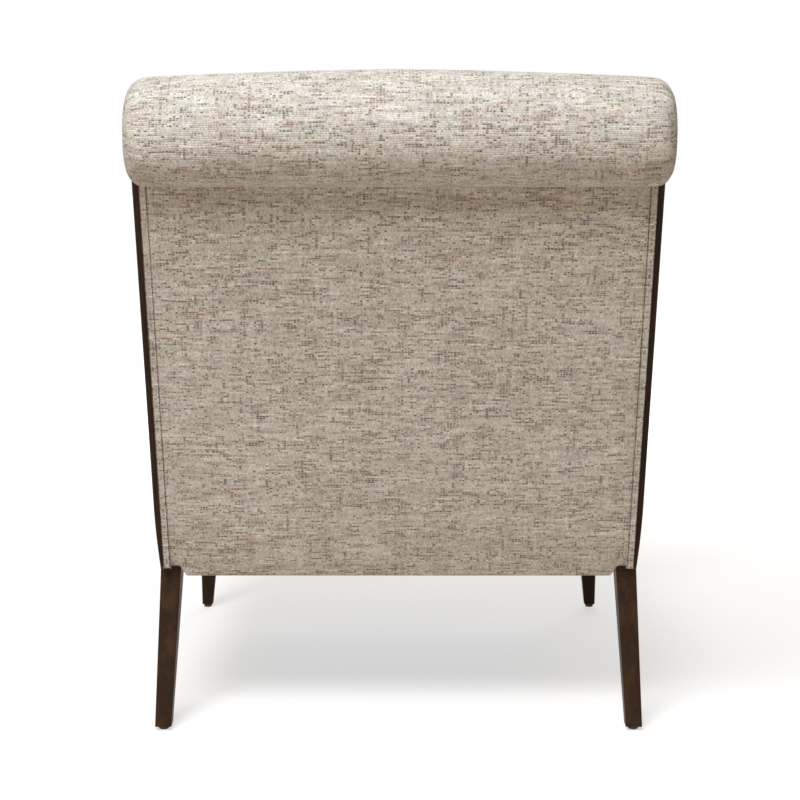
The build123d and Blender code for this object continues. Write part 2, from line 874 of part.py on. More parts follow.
def cushion_form(shrink):
    """The cushion's crowned form, made smaller all round by a thickness."""
    depth = cushion_rear_y - cushion_front_y
    inset = shrink / depth
    sections = []
    for number in range(cushion_stations + 1):
        turn = math.pi * number / cushion_stations
        share = inset + (1 - 2 * inset) * (1 - math.cos(turn)) / 2
        full = math.sin(math.pi * share)
        edge = max(min(share, 1 - share) - inset, 0) * depth / cushion_edge_round
        drop = cushion_corner_drop * (1 - math.sqrt(1 - max(1 - edge, 0) ** 2))
        top = cushion_thick + cushion_crown * full - drop - shrink
        side = top - cushion_crown * (1 + full) / 2
        sections.append(cushion_section(share, cushion_draw_in * full + shrink, drop + shrink, side, top))
    return loft(sections, ruled=True)


def make_cushion():
    cover = (cushion_form(0) - cushion_form(cover_thick)).solid()
    core = cushion_form(cover_thick + soft_gap).solid()
    return cover, core


def group(solids):
    """Like pieces that share one node."""
    return Compound(children=[Solid(solid.wrapped) for piece in solids for solid in piece.solids()])


# Assembly
def build():
    nodes = {}
    post = make_rear_post()
    arm = make_arm(post)
    leg = make_front_leg(arm)
    side_rail = make_side_rail(post)
    front_rail = make_front_rail()
    rear_rail = make_rear_rail()
    lower_rail = make_lower_back_rail()
    top_rail = make_top_back_rail()
    liner = make_liner()
    former = make_roll_former()

    front_block = make_corner_block(front_rail_rear_y, 1, [leg])
    rear_block = make_corner_block(rear_block_y, -1, [rear_rail, post])
    front_screws = corner_block_screws(front_rail_rear_y, 1)
    rear_screws = corner_block_screws(rear_block_y, -1)
    former_screws = roll_former_screws()

    side_front, side_rear = side_rail_dowels()
    front_ends = front_rail_dowels()
    rear_ends = rear_rail_dowels()
    lower_ends = back_rail_dowels(lower_rail_up, lower_rail_top_up, post_rear_fwd + back_rail_thick / 2)
    top_ends = back_rail_dowels(top_rail_up, top_rail_top_up, webbing_fwd - back_rail_thick / 2)
    arm_front, arm_rear = arm_dowels()

    rear_foot = (half_frame - rear_foot_width / 2, post_rear_y(glide_height) - rear_foot_depth / 2)
    front_foot = (half_frame - front_foot_width / 2, front_leg_front_y + front_foot_width / 2)

    def holes(joints):
        return [joint.hole for joint in joints]

    def both_sides(cuts):
        return cuts + [other_side(cut) for cut in cuts]

    side_border = make_side_border(post, leg)
    dust_cover = make_dust_cover(post, leg)

    post_joints = side_rear + rear_ends + lower_ends + top_ends + arm_rear + former_screws
    post = drilled(post, holes(post_joints) + [glide_hole(*rear_foot)])
    leg = drilled(leg, holes(side_front + front_ends + arm_front) + [glide_hole(*front_foot)])
    arm = drilled(arm, holes(arm_front + arm_rear))
    side_screws = [front_screws[0], rear_screws[0]]
    side_rail = drilled(side_rail, holes(side_front + side_rear + side_screws))
    front_rail = drilled(front_rail, both_sides(holes(front_ends + [front_screws[1]])))
    rear_rail = drilled(rear_rail, both_sides(holes(rear_ends + [rear_screws[1]])))
    lower_rail = drilled(lower_rail, both_sides(holes(lower_ends)))
    top_rail = drilled(top_rail, both_sides(holes(top_ends)))
    former = drilled(former, holes(former_screws))
    front_block = drilled(front_block, [cut for screw in front_screws for cut in (screw.hole, screw.sink)])
    rear_block = drilled(rear_block, [cut for screw in rear_screws for cut in (screw.hole, screw.sink)])

    sided = {
        "rear_post": post,
        "front_leg": leg,
        "arm": arm,
        "side_rail": side_rail,
        "back_liner": liner,
        "roll_former": former,
        "front_corner_block": front_block,
        "rear_corner_block": rear_block,
        "side_border": side_border,
        "back_edge_border": make_edge_border(),
        "rear_glide": make_glide(*rear_foot, rear_glide_diameter),
        "front_glide": make_glide(*front_foot, front_glide_diameter),
    }
    for name, piece in sided.items():
        nodes[name + "_left"] = piece
        nodes[name + "_right"] = other_side(piece)

    nodes["front_rail"] = front_rail
    nodes["rear_rail"] = rear_rail
    nodes["lower_back_rail"] = lower_rail
    nodes["top_back_rail"] = top_rail
    nodes["roll_core"] = make_roll_core()

    rail_joints = side_front + side_rear + front_ends + rear_ends + lower_ends + top_ends
    nodes["rail_dowels"] = group(both_sides([joint.dowel for joint in rail_joints]))
    nodes["arm_dowels"] = group(both_sides([joint.dowel for joint in arm_front + arm_rear]))
    nodes["corner_block_screws"] = group(both_sides([screw.screw for screw in front_screws + rear_screws]))
    nodes["roll_former_screws"] = group(both_sides([screw.screw for screw in former_screws]))

    spring_places = [spring_pitch * (number - (spring_count - 1) / 2) for number in range(spring_count)]
    for number, x in enumerate(spring_places):
        nodes[f"seat_spring_{number + 1}"] = make_spring(x)
    clip_rows = (spring_front_y, spring_rear_y)
    nodes["spring_clips"] = group([make_clip(x, y) for x in spring_places for y in clip_rows])
    for number in range(webbing_count):
        nodes[f"back_webbing_{number + 1}"] = make_webbing(number)

    nodes["seat_deck"] = make_deck()
    nodes["front_border"] = make_front_border()
    nodes["dust_cover"] = dust_cover
    nodes["inside_back_cover"], nodes["inside_back_foam"] = make_inside_back()
    nodes["roll_foam"] = make_roll_foam()
    nodes["roll_cover"] = make_roll_cover()
    nodes["outside_back_board"] = make_outside_board([nodes["rear_post_left"], nodes["rear_post_right"]])
    nodes["outside_back_panel"] = make_outside_panel()
    nodes["seat_cushion_cover"], nodes["seat_cushion_core"] = make_cushion()
    return nodes


if __name__ == "__main__":
    os.makedirs("parts", exist_ok=True)
    for node_name, node in build().items():
        export_step(node, f"parts/{node_name}.step")
        print(node_name, round(node.volume))
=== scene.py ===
# %% [markdown]
# # A show-wood armchair with a rolled back
# The rigid frame of the chair comes in from its solid model and is never moved. This lesson adds what a
# solid model can't show: tweed covers with some give in them, the grain of the wood, the camera and
# light. Everything is in metres, +Z is up, the chair faces -Y, and +X is the sitter's left.

# %% The solid chair
import math

import bmesh
import bpy
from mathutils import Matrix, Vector
from mathutils.bvhtree import BVHTree


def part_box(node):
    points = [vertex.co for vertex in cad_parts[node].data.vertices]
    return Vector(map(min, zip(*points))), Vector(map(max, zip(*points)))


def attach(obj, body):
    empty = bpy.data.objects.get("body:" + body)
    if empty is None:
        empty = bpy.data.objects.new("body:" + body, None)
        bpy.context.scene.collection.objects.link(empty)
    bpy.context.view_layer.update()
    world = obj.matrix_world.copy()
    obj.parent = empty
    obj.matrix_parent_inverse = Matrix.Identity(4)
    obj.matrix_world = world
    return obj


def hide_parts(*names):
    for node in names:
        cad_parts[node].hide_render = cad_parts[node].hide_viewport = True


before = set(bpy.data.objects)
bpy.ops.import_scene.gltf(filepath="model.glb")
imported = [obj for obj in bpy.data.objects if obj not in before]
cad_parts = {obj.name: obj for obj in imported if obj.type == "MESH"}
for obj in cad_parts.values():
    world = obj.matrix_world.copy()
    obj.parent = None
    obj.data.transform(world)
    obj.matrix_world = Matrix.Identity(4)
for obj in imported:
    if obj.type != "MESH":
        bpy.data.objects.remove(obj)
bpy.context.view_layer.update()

# %% [markdown]
# The view comes first, because every later choice is judged through it. The photograph was taken from
# straight behind the chair, a little above the roll, with a long lens. A long lens keeps the posts nearly
# parallel, so the focal length was found from how fast the two posts draw together on their way down.

# %% Camera
LENS = 87.75
SENSOR = 36.0
CAMERA_PLACE = (0.0, 2.8737, 0.872)
CAMERA_TIP = 8.787
CAMERA_SHIFT = 0.0018

lens = bpy.data.cameras.new("photo_view")
lens.lens = LENS
lens.sensor_width = SENSOR
lens.shift_x = CAMERA_SHIFT
camera = bpy.data.objects.new("photo_view", lens)
camera.location = CAMERA_PLACE
camera.rotation_euler = (math.radians(90 - CAMERA_TIP), 0, math.radians(180))
bpy.context.scene.collection.objects.link(camera)
bpy.context.scene.camera = camera
bpy.context.scene.view_settings.view_transform = "Standard"

# %% [markdown]
# Shader graphs are easier to read as sums than as boxes and wires. This small class holds one node
# socket, and plain arithmetic on it adds the Math nodes. Its one other method adds any node by its type,
# its settings and the values or links of its sockets.

# %% Writing shaders as sums
class Value:
    """A node socket that plain arithmetic can be written on."""

    def __init__(self, tree, socket=None):
        self.tree = tree
        self.socket = socket

    def node(self, kind, settings=None, sockets=None, output=0):
        made = self.tree.nodes.new("ShaderNode" + kind)
        for name, setting in (settings or {}).items():
            if name == "stops":
                set_stops(made.color_ramp, setting)
            else:
                setattr(made, name, setting)
        for name, given in (sockets or {}).items():
            if isinstance(given, Value):
                self.tree.links.new(given.socket, made.inputs[name])
            else:
                made.inputs[name].default_value = given
        return Value(self.tree, made.outputs[output] if len(made.outputs) else None)

    def maths(self, operation, first, second=0.0):
        return self.node("Math", {"operation": operation}, {0: first, 1: second})

    def __add__(self, other):
        return self.maths("ADD", self, other)

    def __radd__(self, other):
        return self.maths("ADD", other, self)

    def __sub__(self, other):
        return self.maths("SUBTRACT", self, other)

    def __rsub__(self, other):
        return self.maths("SUBTRACT", other, self)

    def __mul__(self, other):
        return self.maths("MULTIPLY", self, other)

    def __rmul__(self, other):
        return self.maths("MULTIPLY", other, self)

    def __truediv__(self, other):
        return self.maths("DIVIDE", self, other)

    def __mod__(self, other):
        return self.maths("FLOORED_MODULO", self, other)


def set_stops(ramp, stops):
    """Gives a colour ramp its stops, each a place and a colour or a grey."""
    while len(ramp.elements) < len(stops):
        ramp.elements.new(1.0)
    for element, (place, colour) in zip(ramp.elements, stops):
        element.position = place
        element.color = (colour, colour, colour, 1) if isinstance(colour, float) else (*colour, 1)


def smooth_step(value, low, high):
    """Eases from 0 to 1 while a value goes from low to high."""
    return value.node(
        "MapRange",
        {"interpolation_type": "SMOOTHSTEP"},
        {"Value": value, "From Min": low, "From Max": high, "To Min": 0.0, "To Max": 1.0},
    )


def hump(share):
    """A round thread: 0 at both edges and 1 in the middle of a share from 0 to 1."""
    return 4.0 * share * (1.0 - share)


def mix_colours(factor, first, second, blend="MIX"):
    """Colour between two colours, each a link or three numbers."""
    ends = [end if isinstance(end, Value) else (*end, 1) for end in (first, second)]
    graph = [end for end in (factor, first, second) if isinstance(end, Value)][0]
    settings = {"data_type": "RGBA", "blend_type": blend}
    return graph.node("Mix", settings, {0: factor, 6: ends[0], 7: ends[1]}, 2)


def parts_of(vector):
    """The x, y and z of a vector, each as a value."""
    split = vector.node("SeparateXYZ", None, {0: vector})
    outputs = split.socket.node.outputs
    return [Value(vector.tree, outputs[axis]) for axis in "XYZ"]


def vector_of(x, y, z=0.0):
    """A vector of three values or numbers, of which x is a value."""
    return x.node("CombineXYZ", None, {0: x, 1: y, 2: z})


def noise_of(vector, scale=1.0, detail=2.0, roughness=0.5):
    """Soft noise from 0 to 1 on a vector."""
    sockets = {"Vector": vector, "Scale": scale, "Detail": detail, "Roughness": roughness}
    return vector.node("TexNoise", None, sockets)


def new_finish(name):
    """An empty node material, and a value to start its graph from."""
    material = bpy.data.materials.new(name)
    material.use_nodes = True
    material.node_tree.nodes.clear()
    return material, Value(material.node_tree)


def close_finish(graph, colour, roughness, height=None, depth=0.001, fixed=None):
    """Ends a graph in a Principled shader, with a bump where there is a height."""
    sockets = {"Base Color": colour, "Roughness": roughness}
    sockets.update(fixed or {})
    if height is not None:
        bump_sockets = {"Strength": 1.0, "Distance": depth, "Height": height}
        sockets["Normal"] = graph.node("Bump", None, bump_sockets)
    shader = graph.node("BsdfPrincipled", None, sockets)
    graph.node("OutputMaterial", None, {"Surface": shader})


print("shader helpers ready")

# %% [markdown]
# The photograph has a white ground with only a soft shadow under the chair. A white floor lit hard enough
# to clip would burn out the chair too, so the floor is lit plainly, and only the camera sees some white
# added to it. The shadow stays, because it is what the added white doesn't cover.

# %% Floor and surroundings
FLOOR_SIZE = 30.0
FLOOR_COLOUR = (0.660, 0.595, 0.520, 1)
LIFT_COLOUR = (0.985, 1.0, 1.015)
BLACK = (0.0, 0.0, 0.0)
FLOOR_LIFT = 0.60
LIFT_NEAR = 0.9
LIFT_FAR = 2.4
AMBIENT = 0.20
AMBIENT_COLOUR = (1, 0.83, 0.62, 1)
WHITE = (1, 1, 1, 1)


def seen_directly(graph):
    """One for what the camera, a mirror or glass sees, and zero for what only lights the chair."""
    path = graph.node("LightPath").socket.node.outputs
    seen = Value(graph.tree, path["Is Camera Ray"])
    for kind in ("Is Glossy Ray", "Is Transmission Ray"):
        seen = seen.maths("MAXIMUM", seen, Value(graph.tree, path[kind]))
    return seen


shape = bmesh.new()
bmesh.ops.create_grid(shape, x_segments=4, y_segments=4, size=FLOOR_SIZE / 2)
floor_mesh = bpy.data.meshes.new("floor")
shape.to_mesh(floor_mesh)
shape.free()
floor = bpy.data.objects.new("floor", floor_mesh)
bpy.context.scene.collection.objects.link(floor)

floor_finish, graph = new_finish("studio_floor")
grey = graph.node("BsdfDiffuse", None, {"Color": FLOOR_COLOUR})
place = graph.node("TexCoord", None, None, "Object")
away = graph.node("VectorMath", {"operation": "LENGTH"}, {0: place}, 1)
amount = FLOOR_LIFT + smooth_step(away, LIFT_NEAR, LIFT_FAR) * (1 - FLOOR_LIFT)
added = mix_colours(seen_directly(graph) * amount, BLACK, LIFT_COLOUR)
lift = graph.node("Emission", None, {"Color": added, "Strength": 1.0})
lifted = graph.node("AddShader", None, {0: grey, 1: lift})
graph.node("OutputMaterial", None, {"Surface": lifted})
floor_mesh.materials.append(floor_finish)

world = bpy.data.worlds.new("studio")
world.use_nodes = True
world.node_tree.nodes.clear()
graph = Value(world.node_tree)
ambient = graph.node("Background", None, {"Color": AMBIENT_COLOUR, "Strength": AMBIENT})
white = graph.node("Background", None, {"Color": WHITE, "Strength": 1.0})
around = graph.node("MixShader", None, {0: seen_directly(graph), 1: ambient, 2: white})
graph.node("OutputWorld", None, {"Surface": around})
bpy.context.scene.world = world
print("floor and surroundings ready")

# %% [markdown]
# The light in the photograph is soft and comes from high up: the top of the roll is nearly white, the
# panel under it sits in its shade, and the legs catch a faint sheen. One wide lamp high behind the chair,
# about 54 degrees up, does that. A weaker one on the sitting side keeps the front from going dark in
# other views.

# %% Lamps
LAMP_COLOUR = (0.90, 1.0, 1.155)
LAMPS = {
    "high_behind": {
        "place": (0.8, 2.18, 3.29), "aim": (0.0, 0.3, 0.7), "size": (1.8, 1.6), "watts": 118.0
    },
    "sitting_side": {
        "place": (-0.6, -3.2, 2.2), "aim": (0.0, 0.0, 0.5), "size": (2.4, 2.0), "watts": 34.0
    },
}

for name, lamp in LAMPS.items():
    light = bpy.data.lights.new(name, "AREA")
    light.shape = "RECTANGLE"
    light.size, light.size_y = lamp["size"]
    light.energy = lamp["watts"]
    light.color = LAMP_COLOUR
    holder = bpy.data.objects.new(name, light)
    holder.location = lamp["place"]
    towards = Vector(lamp["aim"]) - Vector(lamp["place"])
    holder.rotation_euler = towards.to_track_quat("-Z", "Y").to_euler()
    bpy.context.scene.collection.objects.link(holder)
print(len(LAMPS), "lamps")

# %% [markdown]
# The cover is a slub tweed. Close up it has rows of weft 2.75 mm apart over warp columns 4.4 mm apart, on
# a grainy cream ground. The colour is in the weft: here and there a run of thin brown-black yarn shows as
# a row of beads where the warp crosses it, among soft pinkish and grey-green patches and pale flecks. A
# picture could be wrapped round the piece, but a graph made from the cloth's own rows and columns stays
# sharp at any size, so each piece carries a map of where it lies on the cloth, in metres.

# %% Tweed
WEFT_ROW = 0.00275
WARP_COLUMN = 0.0044
CREAM = (0.730, 0.650, 0.530)
CREAM_DEEP = (0.640, 0.550, 0.425)
PINKISH = (0.560, 0.375, 0.295)
GREY_GREEN = (0.480, 0.465, 0.355)
PALE = (0.860, 0.810, 0.710)
BROWN_BLACK = (0.080, 0.040, 0.020)
BROWN_RED = (0.270, 0.110, 0.058)
ROW_TONE_LENGTH = 0.045
SLUB_LENGTH = 0.020
COLUMN_LENGTH = 0.045
BEAD_TONE_LENGTH = 0.006
GRAIN_LENGTH = 0.0021
PATCH_WIDE = 0.022
PATCH_HIGH = 0.009
ROW_WANDER = 0.0040
ROW_WAVER = 0.0015
WEAVE_DEPTH = 0.0005
PINKISH_SHARE = 0.24
GREY_GREEN_SHARE = 0.36
PALE_SHARE = 0.40
DARKEST_TONE = 0.57
GRAIN_SHARE = 0.38
ROW_SHARE = 0.24
COLUMN_SHARE = 0.10
THREAD_PAINTED_SHADE = 0.12
RUN_RANGE = (0.565, 0.655)
COLUMN_RUN_RANGE = (0.56, 0.70)
CROWDING = 0.06
STRAY_BEADS = 0.02
RUN_BEADS = 0.80
COLUMN_BEADS = 0.26
CROWD_BEADS = 0.03
BEAD_SOFTNESS = 0.06


def make_tweed():
    """Rows and columns of thread, their tones with a painted highlight on each thread and painted shade
    between the threads, and the dark beads at their crossings.
    """
    material, graph = new_finish("tweed")
    across, along, _ = parts_of(graph.node("UVMap", {"uv_map": "weave"}))
    wander = noise_of(vector_of(across * 26.0, along * 30.0), detail=1.0)
    waver = noise_of(vector_of(across * 130.0, along * 60.0, 5.7), detail=1.0)
    along = along + (wander - 0.5) * ROW_WANDER + (waver - 0.5) * ROW_WAVER
    sway = noise_of(vector_of(across * 30.0, along * 26.0, 3.1), detail=1.0)
    row_place = along / WEFT_ROW
    row = row_place.maths("FLOOR", row_place)
    in_row = row_place % 1.0
    column_place = across / WARP_COLUMN + sway * 1.1
    column = column_place.maths("FLOOR", column_place)
    in_column = column_place % 1.0
    row_hump = hump(in_row)
    column_hump = hump(in_column)

    def weft(length, seed):
        """Noise that runs along each weft row by itself."""
        return noise_of(vector_of(across / length, row * seed, seed), detail=1.0)

    def warp(length, seed):
        """Noise that runs along each warp column by itself."""
        return noise_of(vector_of(column * seed, along / length, seed), detail=1.0)

    def crossing(seed):
        """A chance from 0 to 1 for each crossing of a row and a column."""
        return graph.node("TexWhiteNoise", None, {"Vector": vector_of(column, row, seed)})

    def patch(seed, size=1.0):
        """Noise in patches a few rows high."""
        wide, high = PATCH_WIDE * size, PATCH_HIGH * size
        return noise_of(vector_of(across / wide, along / high, seed), detail=2.0)

    colour = mix_colours(smooth_step(patch(1.3, 2.0), 0.30, 0.72), CREAM, CREAM_DEEP)
    colour = mix_colours(smooth_step(patch(7.9), 0.48, 0.68) * PINKISH_SHARE, colour, PINKISH)
    colour = mix_colours(smooth_step(patch(15.1), 0.48, 0.70) * GREY_GREEN_SHARE, colour, GREY_GREEN)
    pale_run = smooth_step(weft(SLUB_LENGTH, 4.71), 0.52, 0.68) * smooth_step(row_hump, 0.3, 0.8)
    colour = mix_colours(pale_run * PALE_SHARE, colour, PALE)
    row_tone = smooth_step(weft(ROW_TONE_LENGTH, 5.31), 0.30, 0.70)
    grain = weft(GRAIN_LENGTH, 8.13)
    thread = row_hump * (0.6 + 0.4 * column_hump)
    column_tone = smooth_step(warp(ROW_TONE_LENGTH, 6.17), 0.30, 0.70)
    tone = DARKEST_TONE + GRAIN_SHARE * smooth_step(grain, 0.32, 0.68) + ROW_SHARE * row_tone
    # Painted highlight and shade of the weave: the tone is lighter on the top of each thread and darker
    # in the gaps between threads.
    tone = tone + COLUMN_SHARE * column_tone + THREAD_PAINTED_SHADE * thread
    shade = graph.node("CombineColor", None, {0: tone, 1: tone, 2: tone})
    colour = mix_colours(1.0, colour, shade, "MULTIPLY")
    crowd = smooth_step(patch(31.0, 2.0), 0.36, 0.62)
    run = smooth_step(weft(SLUB_LENGTH, 2.37) + crowd * CROWDING, *RUN_RANGE)
    column_run = smooth_step(warp(COLUMN_LENGTH, 3.71) + crowd * CROWDING, *COLUMN_RUN_RANGE)
    chance = STRAY_BEADS + run * RUN_BEADS + column_run * COLUMN_BEADS + crowd * CROWD_BEADS
    bead = smooth_step(chance - crossing(5.0), -BEAD_SOFTNESS, BEAD_SOFTNESS)
    bead_form = smooth_step(row_hump, 0.25, 0.75) * (0.25 + 0.75 * smooth_step(column_hump, 0.25, 0.80))
    dark = bead * bead_form * (0.45 + 0.45 * smooth_step(weft(BEAD_TONE_LENGTH, 7.43), 0.36, 0.60))
    yarn_tone = mix_colours(smooth_step(patch(21.7), 0.38, 0.62), BROWN_BLACK, BROWN_RED)
    colour = mix_colours(dark, colour, yarn_tone)
    height = thread * 0.6 + grain * 0.5
    roughness = 0.95 - 0.1 * row_hump
    sheen = {"Sheen Weight": 0.1, "Sheen Roughness": 0.6}
    close_finish(graph, colour, roughness, height, WEAVE_DEPTH, sheen)
    return material


tweed = make_tweed()
print("tweed with", len(tweed.node_tree.nodes), "nodes")

# %% [markdown]
# The show wood is a dark walnut stain under a satin lacquer. Grain is long and thin, so the noise that
# draws it is stretched along each piece: up the rake for the posts, along the arms, and up the front
# legs. A Mapping node turns the noise, and the same graph then does for every direction. The frame inside
# is pale beech.

# %% Woods
WALNUT_DARK = (0.022, 0.0098, 0.0038)
WALNUT_MID = (0.046, 0.0210, 0.0078)
WALNUT_PALE = (0.074, 0.0350, 0.0135)
BEECH_DARK = (0.360, 0.215, 0.110)
BEECH_MID = (0.470, 0.300, 0.165)
BEECH_PALE = (0.560, 0.385, 0.230)
GRAIN_STRETCH = 16.0
PORE_STRETCH = 0.03
PORE_SCALE = 1100.0
WOOD_DEPTH = 0.00022


def make_wood(name, turn, colours, roughness, sheen, scale=70.0):
    """Wood whose grain runs along the Z axis before it is turned."""
    material, graph = new_finish(name)
    place = graph.node("TexCoord", None, None, "Object")
    turned = graph.node("Mapping", None, {"Vector": place, "Rotation": turn})
    stretched = graph.node("Mapping", None, {"Vector": turned, "Scale": (1, 1, 1 / GRAIN_STRETCH)})
    waver = noise_of(stretched, scale * 0.22, 2.0)
    bands = noise_of(stretched, scale, 4.0, 0.6)
    rings = stretched.maths("SINE", bands * 9.0 + waver * 14.0) * 0.5 + 0.5
    drawn_out = graph.node("Mapping", None, {"Vector": turned, "Scale": (1, 1, PORE_STRETCH)})
    pores = noise_of(drawn_out, PORE_SCALE, 1.0)
    pore_mask = smooth_step(pores, 0.58, 0.70)
    stops = ((0.0, colours[0]), (0.45, colours[1]), (1.0, colours[2]))
    tone = graph.node("ValToRGB", {"stops": stops}, {0: rings * 0.55 + waver * 0.45})
    colour = mix_colours(pore_mask * 0.5, tone, colours[0])
    rub = noise_of(turned, 9.0, 3.0)
    satin = roughness + (rub - 0.5) * 0.16 + pore_mask * 0.12
    height = (1.0 - pore_mask) * 0.7 + bands * 0.3
    close_finish(graph, colour, satin, height, WOOD_DEPTH, {"Specular IOR Level": sheen})
    return material


RAKE = math.radians(19.0)
QUARTER = math.radians(90)
walnut_colours = (WALNUT_DARK, WALNUT_MID, WALNUT_PALE)
beech_colours = (BEECH_DARK, BEECH_MID, BEECH_PALE)
walnut_post = make_wood("walnut_up_the_back", (RAKE, 0, 0), walnut_colours, 0.42, 0.11)
walnut_leg = make_wood("walnut_upright", (0, 0, 0), walnut_colours, 0.42, 0.11)
walnut_arm = make_wood("walnut_along_the_arm", (QUARTER, 0, 0), walnut_colours, 0.40, 0.15)
beech_across = make_wood("beech_across", (0, QUARTER, 0), beech_colours, 0.62, 0.3)
beech_along = make_wood("beech_along", (QUARTER, 0, 0), beech_colours, 0.62, 0.3)
beech_up = make_wood("beech_up_the_back", (RAKE, 0, 0), beech_colours, 0.62, 0.3)
print("woods ready")

# %% [markdown]
# The rest of the frame is seen only from below or when the cushion is lifted, but each piece still gets
# the surface of the real one: drawn steel, moulded plastic that has picked up dust, woven straps, grey
# board.

# %% Steel, plastic, straps and board
STEEL = (0.46, 0.45, 0.43)
STEEL_DULL = (0.30, 0.28, 0.25)
WIRE_DARK = (0.12, 0.10, 0.085)
PLASTIC = (0.012, 0.012, 0.013)
PLASTIC_DUSTY = (0.050, 0.048, 0.045)
STRAP = (0.330, 0.255, 0.160)
STRAP_DARK = (0.060, 0.050, 0.038)
BOARD = (0.260, 0.215, 0.165)
BOARD_FLECK = (0.130, 0.105, 0.080)
STRAP_PITCH = 0.0024
STRAP_DEPTH = 0.0005


def make_speckled(name, main, other, scale, roughness, depth, metallic=0.0):
    """A plain surface with a finer second tone in it."""
    material, graph = new_finish(name)
    place = graph.node("TexCoord", None, None, "Object")
    broad = noise_of(place, scale * 0.1, 3.0)
    fine = noise_of(place, scale, 3.0, 0.65)
    worn = smooth_step(fine * 0.6 + broad * 0.4, 0.42, 0.66)
    colour = mix_colours(worn, main, other)
    close_finish(graph, colour, roughness + worn * 0.2, fine, depth, {"Metallic": metallic})
    return material


def plain_weave(first, second, pitch):
    """Height of a plain even weave, from two places across it."""
    return hump(first / pitch % 1.0) * 0.5 + hump(second / pitch % 1.0) * 0.5


def make_strap(name):
    """Jute webbing: a plain weave, with painted shade in the gaps between its threads."""
    material, graph = new_finish(name)
    x, y, z = parts_of(graph.node("TexCoord", None, None, "Object"))
    weave = plain_weave(x, z, STRAP_PITCH)
    fibre = noise_of(vector_of(x * 300.0, y * 300.0, z * 60.0), 1.0, 2.0)
    # Partly painted shade, darker in the low gaps of the weave, and partly real fibre tone.
    colour = mix_colours(smooth_step(weave * 0.7 + fibre * 0.3, 0.3, 0.75), STRAP_DARK, STRAP)
    close_finish(graph, colour, 0.9 - weave * 0.1, weave, STRAP_DEPTH)
    return material


steel = make_speckled("screw_steel", STEEL, STEEL_DULL, 900.0, 0.30, 0.00005, 1.0)
spring_wire = make_speckled("spring_wire", STEEL_DULL, WIRE_DARK, 500.0, 0.38, 0.00008, 1.0)
glide_plastic = make_speckled("glide_plastic", PLASTIC, PLASTIC_DUSTY, 700.0, 0.45, 0.00006)
grey_board = make_speckled("grey_board", BOARD, BOARD_FLECK, 420.0, 0.85, 0.0002)
jute_strap = make_strap("jute_strap")
print("small finishes ready")

# %% [markdown]
# Each solid piece keeps its mesh, and only its material slots change. The start of a piece's name says
# what it is made of, so one table from names to finishes dresses the whole frame.

# %% Dressing the solid pieces
FINISHES = {
    "rear_post": walnut_post,
    "front_leg": walnut_leg,
    "arm_left": walnut_arm,
    "arm_right": walnut_arm,
    "arm_dowels": beech_along,
    "side_rail": beech_along,
    "front_rail": beech_across,
    "rear_rail": beech_across,
    "lower_back_rail": beech_across,
    "top_back_rail": beech_across,
    "back_liner": beech_up,
    "roll_former": beech_up,
    "roll_former_screws": steel,
    "front_corner_block": beech_across,
    "rear_corner_block": beech_across,
    "rail_dowels": beech_across,
    "corner_block_screws": steel,
    "seat_spring": spring_wire,
    "spring_clips": steel,
    "back_webbing": jute_strap,
    "roll_core": grey_board,
    "outside_back_board": grey_board,
    "rear_glide": glide_plastic,
    "front_glide": glide_plastic,
}

dressed = 0
for name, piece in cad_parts.items():
    known = [start for start in FINISHES if name.startswith(start)]
    if not known:
        continue
    finish = FINISHES[max(known, key=len)]
    for place in piece.material_slots:
        place.material = finish
    dressed += 1
print(dressed, "solid pieces dressed")

# %% [markdown]
# The back leans, so its covers are easiest to think of in the back's own frame: across the chair, up the
# lean, and forward towards the sitter, all measured from the roll's axis. One function turns that into a
# place, and another turns it back.

# %% The leaning frame of the back
roll_low, roll_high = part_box("roll_cover")
AXIS_Y = (roll_low.y + roll_high.y) / 2
AXIS_Z = (roll_low.z + roll_high.z) / 2
ROLL_RADIUS = (roll_high.y - roll_low.y) / 2
ROLL_HALF = (roll_high.x - roll_low.x) / 2


def on_back(x, up, fwd):
    """Place of a point given across the chair, up the lean and forward of the roll's axis."""
    y = AXIS_Y + up * math.sin(RAKE) - fwd * math.cos(RAKE)
    z = AXIS_Z + up * math.cos(RAKE) + fwd * math.sin(RAKE)
    return Vector((x, y, z))


def back_place(point):
    """How far across, up and forward of the roll's axis a point lies."""
    y, z = point.y - AXIS_Y, point.z - AXIS_Z
    up = y * math.sin(RAKE) + z * math.cos(RAKE)
    fwd = -y * math.cos(RAKE) + z * math.sin(RAKE)
    return point.x, up, fwd


def up_at(height, fwd):
    """How far up the lean a height lies, on a layer that is fwd of the axis."""
    return (height - AXIS_Z - fwd * math.sin(RAKE)) / math.cos(RAKE)


print("roll axis at", round(AXIS_Y, 4), round(AXIS_Z, 4), "radius", round(ROLL_RADIUS, 4))

# %% [markdown]
# A few helpers serve every cover. Some make a piece from a bmesh, round its edges or give it thickness.
# One turns a rough form into an even net of small faces. The stuffing is Blender's cloth with air
# pressure in it and no gravity, stopped after a few frames, with each point kept near its start so that
# the cover stays the size of the real one; where it falls short of its solid, it is then filled out. The
# rest write the map from a piece to the cloth, and say what carries the piece and which solids it stands
# for.

# %% Helpers for covers
DOUBLES = 0.00001
SIDE_FACING = 0.75


def make_piece(name, shape, finish):
    """A new object at the origin from a bmesh, which is freed."""
    mesh = bpy.data.meshes.new(name)
    bmesh.ops.recalc_face_normals(shape, faces=shape.faces)
    shape.to_mesh(mesh)
    shape.free()
    mesh.materials.append(finish)
    for face in mesh.polygons:
        face.use_smooth = True
    piece = bpy.data.objects.new(name, mesh)
    bpy.context.scene.collection.objects.link(piece)
    return piece


def apply_modifiers(piece):
    """Puts what the modifiers make into the mesh itself."""
    graph = bpy.context.evaluated_depsgraph_get()
    made = bpy.data.meshes.new_from_object(piece.evaluated_get(graph))
    piece.modifiers.clear()
    old = piece.data
    piece.data = made
    bpy.data.meshes.remove(old)
    made.name = piece.name


